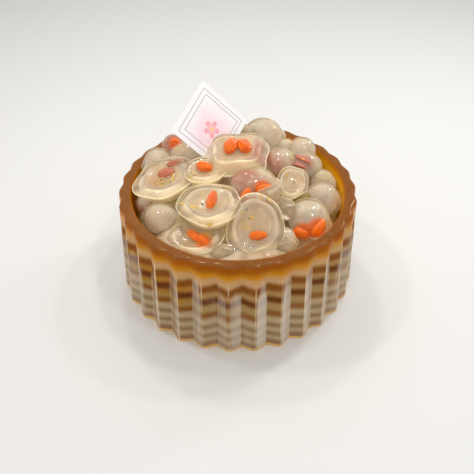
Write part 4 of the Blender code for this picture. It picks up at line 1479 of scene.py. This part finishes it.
class JELLYCAKE_OT_flecks(Operator):
    """Make the osmanthus flecks and the dark specks"""

    bl_idname = "jelly_cake.flecks"
    bl_label = "Flecks and specks"

    def execute(self, context):
        draw = random.Random(context.scene.jelly_cake_heap.seed)
        surface = jelly_surface()
        petals = bmesh.new()
        for point, normal in scatter(FLECK_PATCHES, surface, draw):
            lie = lie_flat(point, normal, draw)
            size = draw.uniform(*PETAL_SIZES)
            flat = Matrix.Diagonal((*(size * share for share in PETAL_SHAPE), 1.0))
            for petal in range(draw.choice((1, 2, 4))):
                arm = turned(90.0 * petal, "Z") @ Matrix.Translation((size, 0.0, 0.0))
                place = lie @ arm @ flat
                bmesh.ops.create_icosphere(petals, subdivisions=2, radius=1.0, matrix=place)
        finish_piece("osmanthus_flecks", petals, osmanthus_petal(), "honey_edge")
        specks = bmesh.new()
        for point, normal in scatter(SPECK_PATCHES, surface, draw):
            lie = lie_flat(point, normal, draw)
            size = draw.uniform(*SPECK_SIZES)
            flat = Matrix.Diagonal((*(size * share for share in SPECK_SHAPE), 1.0))
            bmesh.ops.create_icosphere(specks, subdivisions=2, radius=1.0, matrix=lie @ flat)
        finish_piece("dark_specks", specks, dark_speck(), "brown_sugar")
        return {"FINISHED"}


class JELLYCAKE_OT_card(Operator):
    """Make the small card that stands in the heap"""

    bl_idname = "jelly_cake.card"
    bl_label = "Card"

    def execute(self, context):
        bm = bmesh.new()
        bmesh.ops.create_cube(bm, size=1.0)
        bmesh.ops.translate(bm, vec=(0.5, 0.5, 0.0), verts=bm.verts)
        bmesh.ops.subdivide_edges(bm, edges=bm.edges, cuts=3, use_grid_fill=True)
        keep_own_place(bm)
        bmesh.ops.scale(bm, vec=(CARD_SIDE, CARD_SIDE, CARD_THICKNESS), verts=bm.verts)
        face = turned(90.0 - CARD_LEAN_BACK, "X") @ turned(CARD_TURN, "Y")
        face = Matrix.Translation(CARD_FOOT) @ face @ turned(45.0 + CARD_ROLL, "Z")
        bmesh.ops.transform(bm, matrix=face, verts=bm.verts)
        paper = card_paper(context.scene.jelly_cake_card)
        finish_piece("paper_card", bm, paper, "card", ("card",)).data.shade_flat()
        return {"FINISHED"}


class JELLYCAKE_OT_stage(Operator):
    """Make the floor, the soft lights and the camera"""

    bl_idname = "jelly_cake.stage"
    bl_label = "Stage"

    def execute(self, context):
        stage = context.scene.jelly_cake_stage
        bm = bmesh.new()
        bmesh.ops.create_grid(bm, x_segments=8, y_segments=8, size=3.0)
        floor = add_mesh("floor", bm, studio_floor(stage))
        world = bpy.data.worlds.new("soft_sky")
        world.use_nodes = True
        sky = world.node_tree.nodes["Background"]
        sky.inputs["Color"].default_value = SKY_TINT
        sky.inputs["Strength"].default_value = stage.sky
        context.scene.world = world
        for name, place, side, setting, shows in LIGHTS:
            self.lamp(name, place, side, getattr(stage, setting)).visible_glossy = shows
        for number, place in enumerate(GLINT_PLACES, 1):
            self.lamp(f"glint_{number}", place, GLINT_SIDE, stage.glint)
        self.camera(context)
        context.scene.view_settings.view_transform = "Standard"
        return {"FINISHED"}

    def lamp(self, name, place, size, power):
        """Add a square light that faces the cake."""
        data = bpy.data.lights.new(name, "AREA")
        data.shape = "SQUARE"
        data.size = size
        data.energy = power
        lamp = add_object(name, data)
        aim_at(lamp, place, LIGHT_AIM)
        return lamp

    def camera(self, context):
        """Add the camera at the photo's angle."""
        data = bpy.data.cameras.new("camera")
        data.lens = CAMERA_LENS
        data.clip_start = 0.01
        camera = add_object("camera", data)
        aim_at(camera, CAMERA_PLACE, CAMERA_AIM)
        context.scene.camera = camera


class JELLYCAKE_PT_panel(Panel):
    """Lists the pieces of the cake and their settings"""

    bl_idname = "JELLYCAKE_PT_panel"
    bl_label = "Jelly cake"
    bl_space_type = "VIEW_3D"
    bl_region_type = "UI"
    bl_category = "Jelly cake"

    def draw(self, context):
        for operator in OPERATORS:
            self.layout.operator(operator.bl_idname)
        for name in GROUPS:
            box = self.layout.box()
            settings = getattr(context.scene, name)
            for key in settings.__annotations__:
                box.prop(settings, key)


GROUPS = {
    "jelly_cake_body": JellyCakeBody,
    "jelly_cake_heap": JellyCakeHeap,
    "jelly_cake_card": JellyCakeCard,
    "jelly_cake_stage": JellyCakeStage,
}
OPERATORS = (
    JELLYCAKE_OT_layered_body,
    JELLYCAKE_OT_amber_rim,
    JELLYCAKE_OT_bed,
    JELLYCAKE_OT_fruit,
    JELLYCAKE_OT_lobes,
    JELLYCAKE_OT_berries,
    JELLYCAKE_OT_flecks,
    JELLYCAKE_OT_card,
    JELLYCAKE_OT_stage,
)


def register():
    """Register the settings, the operators and the panel."""
    for group in GROUPS.values():
        bpy.utils.register_class(group)
    for name, group in GROUPS.items():
        setattr(bpy.types.Scene, name, PointerProperty(type=group))
    for operator in OPERATORS:
        bpy.utils.register_class(operator)
    bpy.utils.register_class(JELLYCAKE_PT_panel)


def unregister():
    """Take everything back that was registered."""
    bpy.utils.unregister_class(JELLYCAKE_PT_panel)
    for operator in reversed(OPERATORS):
        bpy.utils.unregister_class(operator)
    for name, group in GROUPS.items():
        delattr(bpy.types.Scene, name)
        bpy.utils.unregister_class(group)


def main():
    """Make the cake and its stage."""
    register()
    bpy.ops.jelly_cake.layered_body()
    bpy.ops.jelly_cake.amber_rim()
    bpy.ops.jelly_cake.bed()
    bpy.ops.jelly_cake.fruit()
    bpy.ops.jelly_cake.lobes()
    bpy.ops.jelly_cake.berries()
    bpy.ops.jelly_cake.flecks()
    bpy.ops.jelly_cake.card()
    bpy.ops.jelly_cake.stage()


if __name__ == "__main__":
    main()
